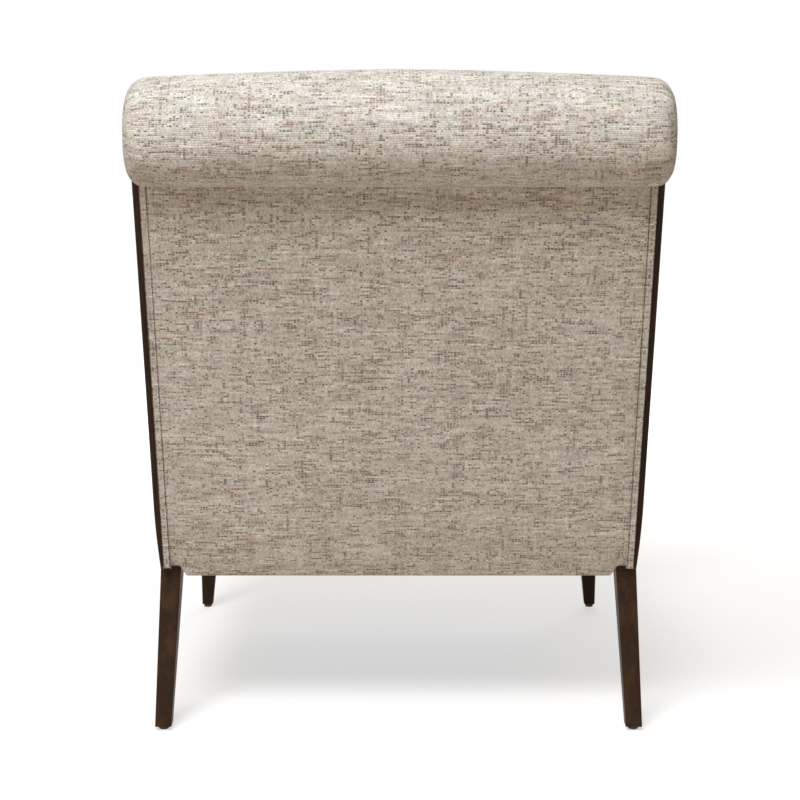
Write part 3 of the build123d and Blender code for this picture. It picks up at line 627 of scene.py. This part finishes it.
def thicken(piece, thickness):
    """Gives a sheet its thickness, behind the side that is seen."""
    wall = piece.modifiers.new("thickness", "SOLIDIFY")
    wall.thickness = thickness
    wall.offset = -1.0


def round_edges(shape, edges, offset, segments):
    """Rounds edges by a bevel."""
    bmesh.ops.bevel(
        shape,
        geom=list(edges),
        offset=offset,
        segments=segments,
        profile=0.5,
        affect="EDGES",
        material=-1,
    )


def declare_pad(piece, body, slot, fill, *nodes):
    """Says what carries a padded piece and hides the solids it stands for; its slot and fill are not
    used.
    """
    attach(piece, body)
    if nodes:
        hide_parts(*nodes)


def remesh(piece, voxel, smoothing):
    """Wraps a rough form in an even net, then eases it."""
    net = piece.modifiers.new("net", "REMESH")
    net.mode = "VOXEL"
    net.voxel_size = voxel
    net.use_smooth_shade = True
    apply_modifiers(piece)
    shape = bmesh.new()
    shape.from_mesh(piece.data)
    for _ in range(smoothing):
        bmesh.ops.smooth_vert(
            shape, verts=shape.verts, factor=0.5, use_axis_x=True, use_axis_y=True, use_axis_z=True
        )
    shape.to_mesh(piece.data)
    shape.free()


def stuff(piece, pressure, reach, frames=20):
    """Blows the cover up from inside and keeps each point within its reach of its start."""
    scene = bpy.context.scene
    start = [vertex.co.copy() for vertex in piece.data.vertices]
    cloth = piece.modifiers.new("stuffing", "CLOTH")
    cloth.settings.use_pressure = True
    cloth.settings.uniform_pressure_force = pressure
    cloth.settings.effector_weights.gravity = 0.0
    cloth.settings.quality = 4
    cloth.point_cache.frame_start = 1
    cloth.point_cache.frame_end = frames
    for number in range(1, frames + 1):
        scene.frame_set(number)
    apply_modifiers(piece)
    for vertex, before in zip(piece.data.vertices, start):
        move = vertex.co - before
        most = reach(before)
        if move.length > most:
            vertex.co = before + move * (most / move.length)
    scene.frame_set(1)


def surface_of(piece):
    """The piece's faces, ready for rays to be sent at them."""
    mesh = piece.data
    corners = [vertex.co for vertex in mesh.vertices]
    return BVHTree.FromPolygons(corners, [face.vertices for face in mesh.polygons])


def fill_out(piece, solid, most, rounds):
    """Fills a cover out towards its solid where it falls short, by moves evened out over the cloth."""
    surface = surface_of(solid)
    vertices = piece.data.vertices
    pairs = [tuple(edge.vertices) for edge in piece.data.edges]
    moves = []
    for vertex in vertices:
        nearest, _, _, distance = surface.find_nearest(vertex.co)
        move = (nearest - vertex.co) * max(0.0, 1.0 - most / max(distance, most))
        moves.append(move if move.dot(vertex.normal) > 0 else Vector())
    for _ in range(rounds):
        sums = [move.copy() for move in moves]
        counts = [1] * len(moves)
        for first, second in pairs:
            sums[first] += moves[second]
            sums[second] += moves[first]
            counts[first] += 1
            counts[second] += 1
        moves = [total / count for total, count in zip(sums, counts)]
    for vertex, move in zip(vertices, moves):
        vertex.co += move


def map_weave(piece, place):
    """Writes where each face corner lies on the cloth, in metres."""
    mesh = piece.data
    layer = mesh.uv_layers.new(name="weave")
    for face in mesh.polygons:
        for corner in face.loop_indices:
            vertex = mesh.vertices[mesh.loops[corner].vertex_index]
            layer.data[corner].uv = place(vertex, face)


def box_weave(vertex, face):
    """Cloth laid on a box: rows run across the chair, or along it on the sides."""
    point = vertex.co
    sizes = [abs(size) for size in face.normal]
    if sizes[2] == max(sizes):
        return point.x, point.y
    if sizes[0] == max(sizes):
        return point.y, point.z
    return point.x, point.z


def back_weave(vertex, face):
    """Cloth laid on the leaning back, with its rows level."""
    x, up, fwd = back_place(vertex.co)
    if abs(face.normal.x) > SIDE_FACING:
        return fwd, up
    return x, up


def eased(share):
    """Smooth step of a share from 0 to 1."""
    share = min(max(share, 0.0), 1.0)
    return share * share * (3 - 2 * share)


print("cover helpers ready")

# %% [markdown]
# The roll and the inside back are one upholstered back: the sitter's side runs up and over into the roll.
# The roll starts as a profile spun round its axis, and the inside back as a cube cut into a grid and
# pushed to a crowned pad. Joined and wrapped in one net, they meet in a soft valley, as foam under one
# cover does.

# %% Roll profile
ROLL_END_ROUND = 0.027
ROLL_END_INSET = 0.033
LOWER_END_ROUND = 0.020
LOWER_END_INSET = 0.030
ROLL_TRIM = 0.0023
ROLL_FALL = 0.0055
ROLL_FALL_POWER = 1.5
ROLL_STEPS = 56
ROLL_PLACES = 26
ROLL_END_TURNS = range(0, 91, 6)
COVER_ROOM = 0.0005
ROLL_PROUD = 0.0015
ROLL_SHIFT = -0.0016
ROLL_FULLNESS = 0.0040
FULL_TURN = math.radians(-42.0)
FULL_REACH = math.radians(42.0)


def roll_size(x, low=0.0):
    """Radius and drop of the roll across the chair; low is 1 underneath, where its ends are squarer."""
    half = ROLL_HALF - ROLL_TRIM
    fall = ROLL_FALL * (abs(x) / half) ** ROLL_FALL_POWER
    end_round = ROLL_END_ROUND + (LOWER_END_ROUND - ROLL_END_ROUND) * low
    end_inset = ROLL_END_INSET + (LOWER_END_INSET - ROLL_END_INSET) * low
    turn = min(max(abs(x) - (half - end_round), 0.0) / end_round, 1.0)
    inset = end_inset * (1 - math.sqrt(1 - turn ** 2))
    return ROLL_RADIUS + ROLL_PROUD - fall - inset, fall


def add_roll(shape):
    """Spins the roll's profile round its axis, squares its ends underneath and lets them drop."""
    half = ROLL_HALF - ROLL_TRIM
    straight = half - ROLL_END_ROUND
    sides = [straight * number / ROLL_PLACES for number in range(ROLL_PLACES)]
    sides += [straight + ROLL_END_ROUND * math.sin(math.radians(turn)) for turn in ROLL_END_TURNS]
    places = [-x for x in sides[:0:-1]] + sides
    profile = [shape.verts.new((x, AXIS_Y, AXIS_Z + roll_size(x)[0])) for x in places]
    tips = [shape.verts.new((x, AXIS_Y, AXIS_Z)) for x in (places[0], places[-1])]
    chain = [tips[0], *profile, tips[1]]
    edges = [shape.edges.new(pair) for pair in zip(chain, chain[1:])]
    bmesh.ops.spin(
        shape,
        geom=chain + edges,
        cent=(0, AXIS_Y, AXIS_Z),
        axis=(1, 0, 0),
        angle=2 * math.pi,
        steps=ROLL_STEPS,
        use_merge=True,
    )
    bmesh.ops.remove_doubles(shape, verts=shape.verts, dist=DOUBLES)
    for vertex in shape.verts:
        x, y, z = vertex.co
        spread = math.hypot(y - AXIS_Y, z - AXIS_Z)
        radius, fall = roll_size(x)
        if spread > 0:
            low = eased((AXIS_Z - z) / spread)
            away = min(abs(math.atan2(z - AXIS_Z, y - AXIS_Y) - FULL_TURN) / FULL_REACH, 1.0)
            fuller = ROLL_FULLNESS * (1 + math.cos(math.pi * away)) / 2
            grown = roll_size(x, low)[0] / radius * (1 + fuller / ROLL_RADIUS)
            y, z = AXIS_Y + (y - AXIS_Y) * grown, AXIS_Z + (z - AXIS_Z) * grown
        vertex.co = (x + ROLL_SHIFT, y, z - fall)


print("roll radius at its middle and shoulder", [round(roll_size(x)[0], 4) for x in (0, 0.32)])

# %% Inside back form
PAD_HALF = 0.3045
PAD_BASE = 0.0095
PAD_LEVELS = ((-0.620, 0.094), (-0.446, 0.101), (-0.240, 0.086), (-0.060, 0.071), (0.0, 0.045))
PAD_CROWN = 0.018
PAD_SIDE_ROUND = 0.022
PAD_SIDE_START = 0.86
PAD_SIDE_SHARE = 0.14
PAD_CUTS = 22


def pad_face(up):
    """How far forward the middle of the pad stands at a place up the lean."""
    for (low, low_fwd), (high, high_fwd) in zip(PAD_LEVELS, PAD_LEVELS[1:]):
        if up <= high:
            return low_fwd + (high_fwd - low_fwd) * eased((up - low) / (high - low))
    return PAD_LEVELS[-1][1]


def add_inside_back(shape):
    """Pushes a gridded cube into a pad that is crowned in front and flat behind."""
    made = bmesh.ops.create_cube(shape, size=1.0)
    edges = {edge for vertex in made["verts"] for edge in vertex.link_edges}
    bmesh.ops.subdivide_edges(shape, edges=list(edges), cuts=PAD_CUTS, use_grid_fill=True)
    low_up = up_at(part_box("seat_deck")[1].z + COVER_ROOM, PAD_LEVELS[0][1])
    for vertex in shape.verts:
        side, depth, rise = (2 * size for size in vertex.co)
        up = low_up + (rise + 1) / 2 * (PAD_LEVELS[-1][0] - low_up)
        rounding = PAD_SIDE_ROUND * eased((abs(side) - PAD_SIDE_START) / PAD_SIDE_SHARE)
        crown = PAD_CROWN * side ** 2 + rounding
        fwd = PAD_BASE + (1 - depth) / 2 * (pad_face(up) - crown - PAD_BASE)
        vertex.co = on_back(side * PAD_HALF, up, fwd)


print("pad stands forward", [round(pad_face(up), 4) for up in (-0.6, -0.45, -0.2)])

# %% Upholstered back
BACK_VOXEL = 0.0055
BACK_SMOOTHING = 4
BACK_PRESSURE = 4.0
ROLL_REACH = 0.0006
PAD_REACH = 0.010
PAD_REACH_ENDS = (0.060, 0.120)
POST_INNER = 0.3066
ROLL_CLOTH_ROOM = 0.012
ROLL_EDGE_ROOM = 0.002
ROLL_SIDE_FACING = 0.8


def back_reach(point):
    """How far the stuffing may move a point: hardly on the firm roll, freely on the inside back."""
    down = -back_place(point)[1]
    start, length = PAD_REACH_ENDS
    return ROLL_REACH + (PAD_REACH - ROLL_REACH) * eased((down - start) / length)


def back_cover_weave(vertex, face):
    """Cloth wound round the roll and laid down the inside back."""
    x, up, fwd = back_place(vertex.co)
    _, middle_up, middle_fwd = back_place(face.center)
    if abs(face.normal.x) > ROLL_SIDE_FACING:
        return fwd, up
    if math.hypot(middle_up, middle_fwd) > ROLL_RADIUS + ROLL_CLOTH_ROOM:
        return x, up
    turn = math.atan2(up, fwd)
    middle_turn = math.atan2(middle_up, middle_fwd)
    if turn - middle_turn > math.pi:
        turn -= 2 * math.pi
    if middle_turn - turn > math.pi:
        turn += 2 * math.pi
    return x, turn * ROLL_RADIUS


shape = bmesh.new()
add_roll(shape)
pad = bmesh.new()
add_inside_back(pad)
pad_mesh = bpy.data.meshes.new("pad")
pad.to_mesh(pad_mesh)
pad.free()
shape.from_mesh(pad_mesh)
bpy.data.meshes.remove(pad_mesh)
upholstered_back = make_piece("upholstered_back", shape, tweed)
remesh(upholstered_back, BACK_VOXEL, BACK_SMOOTHING)
stuff(upholstered_back, BACK_PRESSURE, back_reach)
for vertex in upholstered_back.data.vertices:
    x, up, fwd = back_place(vertex.co)
    if math.hypot(up, fwd) > ROLL_RADIUS + ROLL_EDGE_ROOM:
        vertex.co.x = min(max(x, -POST_INNER), POST_INNER)
map_weave(upholstered_back, back_cover_weave)
soft_back = ("roll_cover", "roll_foam", "inside_back_cover", "inside_back_foam")
declare_pad(upholstered_back, "chair_frame", "tweed", 0.8, *soft_back)
print("upholstered back of", len(upholstered_back.data.polygons), "faces")

# %% [markdown]
# The outside back is a thin pad stretched over a board. It starts as a flat grid laid on the lean. Its
# edges turn in towards the posts, its middle stands a little proud, its lower corners are cut short over
# the legs, and a few shallow pulls run down from the roll, where the cloth was drawn tight by hand.

# %% Outside back panel
panel_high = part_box("outside_back_panel")[1]
PANEL_SEAM_ROOM = 0.0020
PANEL_HALF = panel_high.x + PANEL_SEAM_ROOM
PANEL_FWD = -0.0353
PANEL_BASE = -0.0284
PANEL_TOP = -0.0560
PANEL_CROWN = 0.0036
PANEL_SIDE_TURN = 0.0012
PANEL_SIDE_DEPTH = 0.0008
PANEL_LOW_TURN = 0.0040
PANEL_TUCK = 0.0036
PANEL_TUCK_HEIGHT = 0.085
PANEL_CUTS = (110, 100)
LEG_CORNER = (0.2980, 0.3085)
LOW_HEIGHT = 0.2042
LEG_HEIGHT = 0.2200
PULL_DEPTH = 0.0009
PULL_WAVES = (61.0, 37.0)
PULL_START = 1.7
PULL_LEAN = 9.0
PULL_LENGTH = 0.09
PANEL_CROWDING = math.pi / 2 * 0.82
PANEL_LINE_EASE = 0.55
WADDING = 0.0022


def panel_bottom(x):
    """How far up the lean the panel's lower edge lies, which is higher over the legs."""
    step = eased((abs(x) - LEG_CORNER[0]) / (LEG_CORNER[1] - LEG_CORNER[0]))
    return up_at(LOW_HEIGHT + (LEG_HEIGHT - LOW_HEIGHT) * step, PANEL_FWD)


def panel_pull(x, down):
    """Shallow pulls that start under the roll and die away below it."""
    upright = math.sin(x * PULL_WAVES[0] + PULL_START) * 0.5
    leaning = math.sin(x * PULL_WAVES[1] - down * PULL_LEAN) * 0.5
    return PULL_DEPTH * (upright + leaning) * math.exp(-down / PULL_LENGTH)


def turned_in(distance, turn, depth):
    """How far the cloth has turned in at a distance from its edge."""
    share = min(max(1 - distance / turn, 0.0), 1.0)
    return depth * (1 - math.sqrt(1 - share ** 2))


shape = bmesh.new()
bmesh.ops.create_grid(shape, x_segments=PANEL_CUTS[0], y_segments=PANEL_CUTS[1], size=1.0)
for vertex in shape.verts:
    side, rise = vertex.co.x, (vertex.co.y + 1) / 2
    x = PANEL_HALF * math.sin(side * PANEL_CROWDING) / math.sin(PANEL_CROWDING)
    bottom = panel_bottom(x)
    rise = rise - math.sin(2 * math.pi * rise) / (2 * math.pi) * PANEL_LINE_EASE
    up = bottom + (PANEL_TOP - bottom) * rise
    crown = PANEL_CROWN * (1 - side ** 4) * (1 - (2 * rise - 1) ** 4)
    side_turn = turned_in(PANEL_HALF - abs(x), PANEL_SIDE_TURN, PANEL_SIDE_DEPTH)
    low_turn = turned_in(up - bottom, PANEL_LOW_TURN, PANEL_BASE - PANEL_FWD)
    tuck = PANEL_TUCK * max(1 - (up - bottom) / PANEL_TUCK_HEIGHT, 0.0) ** 2
    inward = max(side_turn, low_turn, tuck)
    fwd = PANEL_FWD - crown + inward + panel_pull(x, PANEL_TOP - up)
    vertex.co = on_back(x, up, fwd)
outside_panel = make_piece("outside_panel", shape, tweed)
thicken(outside_panel, WADDING)
apply_modifiers(outside_panel)
map_weave(outside_panel, back_weave)
declare_pad(outside_panel, "chair_frame", "tweed", 0.9, "outside_back_panel")
print("outside panel", round(2 * PANEL_HALF, 3), "m wide")

# %% [markdown]
# Along each post the panel is finished by a narrow welted border, which leaves a strip of bare wood
# outside it. It is a long cube with its edges rounded by a bevel, leaned with the back.

# %% Edge borders
BORDER_OUTER = 0.3300
BORDER_SEAM = -0.0012
BORDER_ROUND = 0.0011


def add_lean_bar(shape, sides, ups, fwds):
    """A long bar on the lean, rounded along its edges."""
    made = bmesh.ops.create_cube(shape, size=1.0)
    for vertex in made["verts"]:
        x = sides[0] if vertex.co.x < 0 else sides[1]
        fwd = fwds[0] if vertex.co.y < 0 else fwds[1]
        up = ups[0] if vertex.co.z < 0 else ups[1]
        vertex.co = on_back(x, up, fwd)
    edges = {edge for vertex in made["verts"] for edge in vertex.link_edges}
    round_edges(shape, edges, BORDER_ROUND, 4)


for side, sign in (("left", 1), ("right", -1)):
    sides = sorted((sign * (PANEL_HALF + BORDER_SEAM), sign * BORDER_OUTER))
    shape = bmesh.new()
    add_lean_bar(shape, sides, (up_at(LEG_HEIGHT, PANEL_FWD), PANEL_TOP), (PANEL_FWD, PANEL_BASE))
    border = make_piece("edge_border_" + side, shape, tweed)
    map_weave(border, back_weave)
    declare_pad(border, "chair_frame", "tweed", 0.9, "back_edge_border_" + side)
print("edge borders", round((sides[1] - sides[0]) * 1000, 1), "mm wide")

# %% [markdown]
# The loose seat cushion is a boxed cushion: a top and a bottom panel joined by a band, with piping in
# both seams. It starts lower and smaller than its solid, is wrapped in a net, crowned and stuffed by the
# simulation, filled out where it is still short, and rests flat on the deck. The piping is laid
# afterwards, where a ray sent in from outside meets the cover.

# %% Seat cushion
cushion_low, cushion_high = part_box("seat_cushion_cover")
CUSHION_START = 0.006
CUSHION_FRONT_START = 0.010
CUSHION_CROWN = 0.012
CUSHION_SWELL = 0.019
CUSHION_REAR_TILT = math.radians(14.0)
CUSHION_ROUND = 0.022
CUSHION_VOXEL = 0.0055
CUSHION_SMOOTHING = 3
CUSHION_PRESSURE = 4.0
CUSHION_REACH = 0.022
CUSHION_CLOSE = (0.003, 0.004)
EVEN_ROUNDS = 30
CUSHION_HALF = 0.3042
PIPING_RADIUS = 0.0034
PIPING_POINTS = 220
PIPING_HEIGHTS = (0.020, 0.112)


def cushion_form():
    """A cube of the cushion's size, with its back face leaned as the inside back is."""
    shape = bmesh.new()
    bmesh.ops.create_cube(shape, size=1.0)
    low = cushion_low + Vector((CUSHION_START, CUSHION_FRONT_START, 0))
    high = cushion_high - Vector((CUSHION_START, CUSHION_START, CUSHION_CROWN + CUSHION_SWELL))
    for vertex in shape.verts:
        share = [size + 0.5 for size in vertex.co]
        vertex.co = [low[axis] + (high[axis] - low[axis]) * share[axis] for axis in range(3)]
        if share[1] > 0.5:
            vertex.co.y += (share[2] - 1) * (high.z - low.z) * math.tan(CUSHION_REAR_TILT)
    round_edges(shape, shape.edges, CUSHION_ROUND, 5)
    return shape


def crown_at(point):
    """How far the top of the cushion is raised over a point: most in the middle, none at the rim."""
    across = point.x / CUSHION_HALF
    along = 2 * (point.y - cushion_low.y) / (cushion_high.y - cushion_low.y) - 1
    height = (point.z - cushion_low.z) / (cushion_high.z - cushion_low.z)
    return CUSHION_CROWN * max(0.0, 1 - across ** 2) * max(0.0, 1 - along ** 2) * max(0.0, height)


def rim_share(gap):
    """1 at the rim of the cushion, falling to 0 where its rounded edge ends."""
    return max(0.0, 1.0 - max(0.0, gap) / CUSHION_ROUND)


def cushion_weave(vertex, face):
    """Cloth of the cushion: one piece over the top, one under it, and a band round the sides."""
    x, y, z = vertex.co
    lower, upper = (cushion_low.z + height for height in PIPING_HEIGHTS)
    if lower <= face.center.z <= upper:
        if CUSHION_HALF - abs(face.center.x) < min(face.center.y - cushion_low.y, CUSHION_ROUND):
            return math.copysign(CUSHION_HALF + y - cushion_low.y, x), z
        return x, z
    drop = max(0.0, cushion_high.z - CUSHION_CROWN - z) if face.center.z > upper else z - cushion_low.z
    across = math.copysign(drop * rim_share(CUSHION_HALF - abs(x)), x)
    along = drop * (rim_share(cushion_high.y - y) - rim_share(y - cushion_low.y))
    return x + across, y + along


seat_cushion = make_piece("seat_cushion_cover_dressed", cushion_form(), tweed)
remesh(seat_cushion, CUSHION_VOXEL, CUSHION_SMOOTHING)
for vertex in seat_cushion.data.vertices:
    vertex.co.z += crown_at(vertex.co)
stuff(seat_cushion, CUSHION_PRESSURE, lambda point: CUSHION_REACH)
for most in CUSHION_CLOSE:
    fill_out(seat_cushion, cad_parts["seat_cushion_cover"], most, EVEN_ROUNDS)
for vertex in seat_cushion.data.vertices:
    vertex.co.x = min(max(vertex.co.x, -CUSHION_HALF), CUSHION_HALF)
    vertex.co.z = max(vertex.co.z, cushion_low.z)
map_weave(seat_cushion, cushion_weave)
declare_pad(seat_cushion, "seat_cushion", "tweed", 0.75, "seat_cushion_cover", "seat_cushion_core")
print("seat cushion of", len(seat_cushion.data.polygons), "faces")

# %% Piping
def make_piping(name, lines, closed, body):
    """Round piping along lines of points, in the same cloth as the covers."""
    line_data = bpy.data.curves.new(name, "CURVE")
    line_data.dimensions = "3D"
    line_data.bevel_depth = PIPING_RADIUS
    line_data.bevel_resolution = 3
    line_data.use_fill_caps = True
    for points in lines:
        spline = line_data.splines.new("NURBS")
        spline.points.add(len(points) - 1)
        for knot, point in zip(spline.points, points):
            knot.co = (*point, 1)
        spline.order_u = 3
        spline.use_cyclic_u = closed
        spline.use_endpoint_u = not closed
        spline.resolution_u = 2
    line = bpy.data.objects.new(name + "_line", line_data)
    bpy.context.scene.collection.objects.link(line)
    graph = bpy.context.evaluated_depsgraph_get()
    mesh = bpy.data.meshes.new_from_object(line.evaluated_get(graph))
    bpy.data.objects.remove(line)
    shape = bmesh.new()
    shape.from_mesh(mesh)
    bpy.data.meshes.remove(mesh)
    bmesh.ops.remove_doubles(shape, verts=shape.verts, dist=DOUBLES)
    piping = make_piece(name, shape, tweed)
    map_weave(piping, box_weave)
    declare_pad(piping, body, "tweed", 1.0)


cover = surface_of(seat_cushion)
middle = (cushion_low + cushion_high) / 2
rounds = []
for height in PIPING_HEIGHTS:
    seam = []
    for number in range(PIPING_POINTS):
        turn = 2 * math.pi * number / PIPING_POINTS
        outward = Vector((math.cos(turn), math.sin(turn), 0))
        start = Vector((middle.x, middle.y, cushion_low.z + height)) + outward
        met = cover.ray_cast(start, -outward)[0]
        seam.append((min(max(met.x, -CUSHION_HALF), CUSHION_HALF), met.y, met.z))
    rounds.append(seam)
make_piping("seat_cushion_piping", rounds, True, "seat_cushion")
print("piping round the cushion at", PIPING_HEIGHTS, "m above the deck")

# %% Welts up the inside back
WELT_SIDE = 0.2985
WELT_UPS = (-0.606, -0.075)
WELT_POINTS = 30
WELT_RAY_START = 0.3

inside = surface_of(upholstered_back)
welts = []
for sign in (1, -1):
    welt = []
    for number in range(WELT_POINTS):
        up = WELT_UPS[0] + (WELT_UPS[1] - WELT_UPS[0]) * number / (WELT_POINTS - 1)
        start = on_back(sign * WELT_SIDE, up, WELT_RAY_START)
        met = inside.ray_cast(start, on_back(0, 0, 0) - on_back(0, 0, 1))[0]
        if met is not None:
            welt.append(met)
    welts.append(welt)
make_piping("inside_back_welts", welts, False, "chair_frame")
print("welts", round(WELT_UPS[1] - WELT_UPS[0], 3), "m long")

# %% [markdown]
# Below the cushion the seat shows a padded front band and thin bands over the side rails. They are
# shallow pads, so a gridded cube with rounded edges and a little crown is enough.

# %% Bands
BAND_CUTS = 14
LONG_EDGE = 0.05
NO_CROWN = (0.0, 0.0, 0.0)


def add_soft_box(shape, low, high, rounding, cuts, crown):
    """A box with rounded edges that swells by a crown on each pair of faces."""
    bmesh.ops.create_cube(shape, size=1.0)
    for vertex in shape.verts:
        vertex.co = [low[axis] if vertex.co[axis] < 0 else high[axis] for axis in range(3)]
    round_edges(shape, shape.edges, rounding, 4)
    long_edges = [edge for edge in shape.edges if edge.calc_length() > LONG_EDGE]
    bmesh.ops.subdivide_edges(shape, edges=long_edges, cuts=cuts, use_grid_fill=True)
    middle = (Vector(low) + Vector(high)) / 2
    half = (Vector(high) - Vector(low)) / 2
    for vertex in shape.verts:
        share = [(vertex.co[axis] - middle[axis]) / half[axis] for axis in range(3)]
        for axis in range(3):
            others = [share[other] for other in range(3) if other != axis]
            swell = crown[axis] * max(1 - others[0] ** 2, 0) * max(1 - others[1] ** 2, 0)
            vertex.co[axis] += math.copysign(swell, share[axis]) * abs(share[axis])


BANDS = {
    "front_band": ("front_border", 0.0045, (0.0, 0.003, 0.0), (0.0, 0.0035, 0.0)),
    "side_band_left": ("side_border_left", 0.0011, NO_CROWN, NO_CROWN),
    "side_band_right": ("side_border_right", 0.0011, NO_CROWN, NO_CROWN),
}

for name, (node, rounding, inset, crown) in BANDS.items():
    low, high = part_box(node)
    shape = bmesh.new()
    add_soft_box(shape, low + Vector(inset), high, rounding, BAND_CUTS, crown)
    band = make_piece(name, shape, tweed)
    map_weave(band, box_weave)
    declare_pad(band, "chair_frame", "tweed", 0.9, node)
print(len(BANDS), "bands")

# %% [markdown]
# The deck under the cushion is hidden until the cushion is lifted, and it is cut round the four legs. A
# flat grid, stretched so that its lines fall on those cuts, loses the faces in the corners, and a
# Solidify and a Bevel turn what is left into a pad. The black cloth under the seat is made the same way,
# but thin, and it hangs down a little between its staples.

# %% Deck cloth and black cloth
DECK_CLOTH = (0.420, 0.370, 0.300)
DECK_CLOTH_DARK = (0.300, 0.255, 0.195)
BLACK_CLOTH = (0.016, 0.016, 0.017)
BLACK_CLOTH_PALE = (0.040, 0.039, 0.038)
THREAD_PITCH = 0.0011
FIBRE_SCALE = 240.0
FADE_SCALE = 7.0
CLOTH_BUMP = 0.0002


def make_plain_cloth(name, main, other):
    """A plain even weave, for cloth that isn't meant to be seen, with painted shade between its threads.
    """
    material, graph = new_finish(name)
    place = graph.node("TexCoord", None, None, "Object")
    x, y, _ = parts_of(place)
    weave = plain_weave(x, y, THREAD_PITCH)
    fibre = noise_of(place, FIBRE_SCALE, 2.0)
    faded = noise_of(place, FADE_SCALE, 3.0)
    # Partly painted shade, darker in the low gaps of the weave, and partly real fibre and faded tones.
    blend = smooth_step(weave * 0.45 + fibre * 0.3 + faded * 0.25, 0.25, 0.75)
    close_finish(graph, mix_colours(blend, main, other), 0.92 - weave * 0.08, weave, CLOTH_BUMP)
    return material


deck_cloth = make_plain_cloth("deck_cloth", DECK_CLOTH_DARK, DECK_CLOTH)
black_cloth = make_plain_cloth("black_cloth", BLACK_CLOTH, BLACK_CLOTH_PALE)
print("plain cloths ready")

# %% Cut round the legs
CUT_CELLS = (48, 44)
CUT_EDGE_CELLS = 5


def cut_line(number, count, low, low_cut, high_cut, high):
    """Place of a grid line, with a few close ones outside each cut."""
    inner = count - 2 * CUT_EDGE_CELLS
    if number <= CUT_EDGE_CELLS:
        return low + (low_cut - low) * number / CUT_EDGE_CELLS
    if number >= count - CUT_EDGE_CELLS:
        return high_cut + (high - high_cut) * (number - count + CUT_EDGE_CELLS) / CUT_EDGE_CELLS
    return low_cut + (high_cut - low_cut) * (number - CUT_EDGE_CELLS) / inner


def cut_cloth(sides, depths, height):
    """A flat cloth with its corners cut out: half width and its cut, then front, cuts and rear."""
    half, cut = sides
    front, front_cut, rear_cut, rear = depths
    shape = bmesh.new()
    bmesh.ops.create_grid(shape, x_segments=CUT_CELLS[0], y_segments=CUT_CELLS[1], size=1.0)
    for vertex in shape.verts:
        column = round((vertex.co.x + 1) / 2 * CUT_CELLS[0])
        line = round((vertex.co.y + 1) / 2 * CUT_CELLS[1])
        x = cut_line(column, CUT_CELLS[0], -half, -cut, cut, half)
        y = cut_line(line, CUT_CELLS[1], front, front_cut, rear_cut, rear)
        vertex.co = (x, y, height)
    corners = []
    for face in shape.faces:
        middle = face.calc_center_median()
        if abs(middle.x) > cut and not front_cut < middle.y < rear_cut:
            corners.append(face)
    bmesh.ops.delete(shape, geom=corners, context="FACES")
    return shape


print("cloth of", CUT_CELLS[0] * CUT_CELLS[1], "cells before its corners go")

# %% Seat deck
DECK_EDGE = 0.006
DECK_GAP = 0.0005
deck_low, deck_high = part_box("seat_deck")
leg_low, leg_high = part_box("front_leg_left")
DECK_REAR_CUT = 0.152

shape = cut_cloth(
    (deck_high.x - DECK_GAP, leg_low.x - DECK_GAP),
    (deck_low.y, leg_high.y + DECK_GAP, DECK_REAR_CUT, deck_high.y),
    deck_high.z,
)
seat_deck = make_piece("seat_deck_pad", shape, deck_cloth)
thicken(seat_deck, deck_high.z - deck_low.z)
pad_edge = seat_deck.modifiers.new("edge", "BEVEL")
pad_edge.width = DECK_EDGE
pad_edge.segments = 3
pad_edge.limit_method = "ANGLE"
apply_modifiers(seat_deck)
declare_pad(seat_deck, "chair_frame", "deck_cloth", 0.9, "seat_deck")
print("seat deck", [round(size, 3) for size in seat_deck.dimensions])

# %% Black cloth under the seat
SAG = 0.0030
CLOTH_THICK = 0.0006
DUST_INSET = 0.004
LEG_GAP = 0.001
dust_low, dust_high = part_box("dust_cover")
DUST_SIDE_CUT = 0.2975
DUST_REAR_CUT = 0.118

shape = cut_cloth(
    (dust_high.x - DUST_INSET, DUST_SIDE_CUT),
    (dust_low.y + DUST_INSET, leg_high.y + LEG_GAP, DUST_REAR_CUT, dust_high.y - DUST_INSET),
    dust_low.z + CLOTH_THICK,
)
half_x = dust_high.x
half_y = (dust_high.y - dust_low.y) / 2
for vertex in shape.verts:
    side = vertex.co.x / half_x
    along = (vertex.co.y - dust_low.y) / half_y - 1
    vertex.co.z -= SAG * max(1 - side ** 2, 0) * max(1 - along ** 2, 0)
flat_area = sum(face.calc_area() for face in shape.faces)
black_cover = make_piece("black_under_cover", shape, black_cloth)
thicken(black_cover, CLOTH_THICK)
apply_modifiers(black_cover)
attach(black_cover, "chair_frame")
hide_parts("dust_cover")

# %% Staples
STAPLE_PITCH = 0.042
STAPLE_SIZE = (0.010, 0.0011, 0.0006)
STAPLE_INSET = 0.010
STAPLE_START = 0.03
SIDE_STAPLE_END = 0.01
END_STAPLE_END = 0.02

shape = bmesh.new()
spots = []
for sign in (-1, 1):
    y = leg_high.y + STAPLE_START
    while y < DUST_REAR_CUT - SIDE_STAPLE_END:
        spots.append((sign * (dust_high.x - STAPLE_INSET), y, True))
        y += STAPLE_PITCH
x = -DUST_SIDE_CUT + STAPLE_START
while x < DUST_SIDE_CUT - END_STAPLE_END:
    spots.append((x, dust_low.y + STAPLE_INSET, False))
    spots.append((x, dust_high.y - STAPLE_INSET, False))
    x += STAPLE_PITCH
for x, y, turned in spots:
    made = bmesh.ops.create_cube(shape, size=1.0)
    wide, thick, high = STAPLE_SIZE
    for vertex in made["verts"]:
        length, across, up = vertex.co.x * wide, vertex.co.y * thick, vertex.co.z * high
        vertex.co = (x + across, y + length, 0) if turned else (x + length, y + across, 0)
        vertex.co.z = dust_low.z + up - CLOTH_THICK / 2
staples = make_piece("under_cover_staples", shape, steel)
for face in staples.data.polygons:
    face.use_smooth = False
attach(staples, "chair_frame")
print(len(spots), "staples")
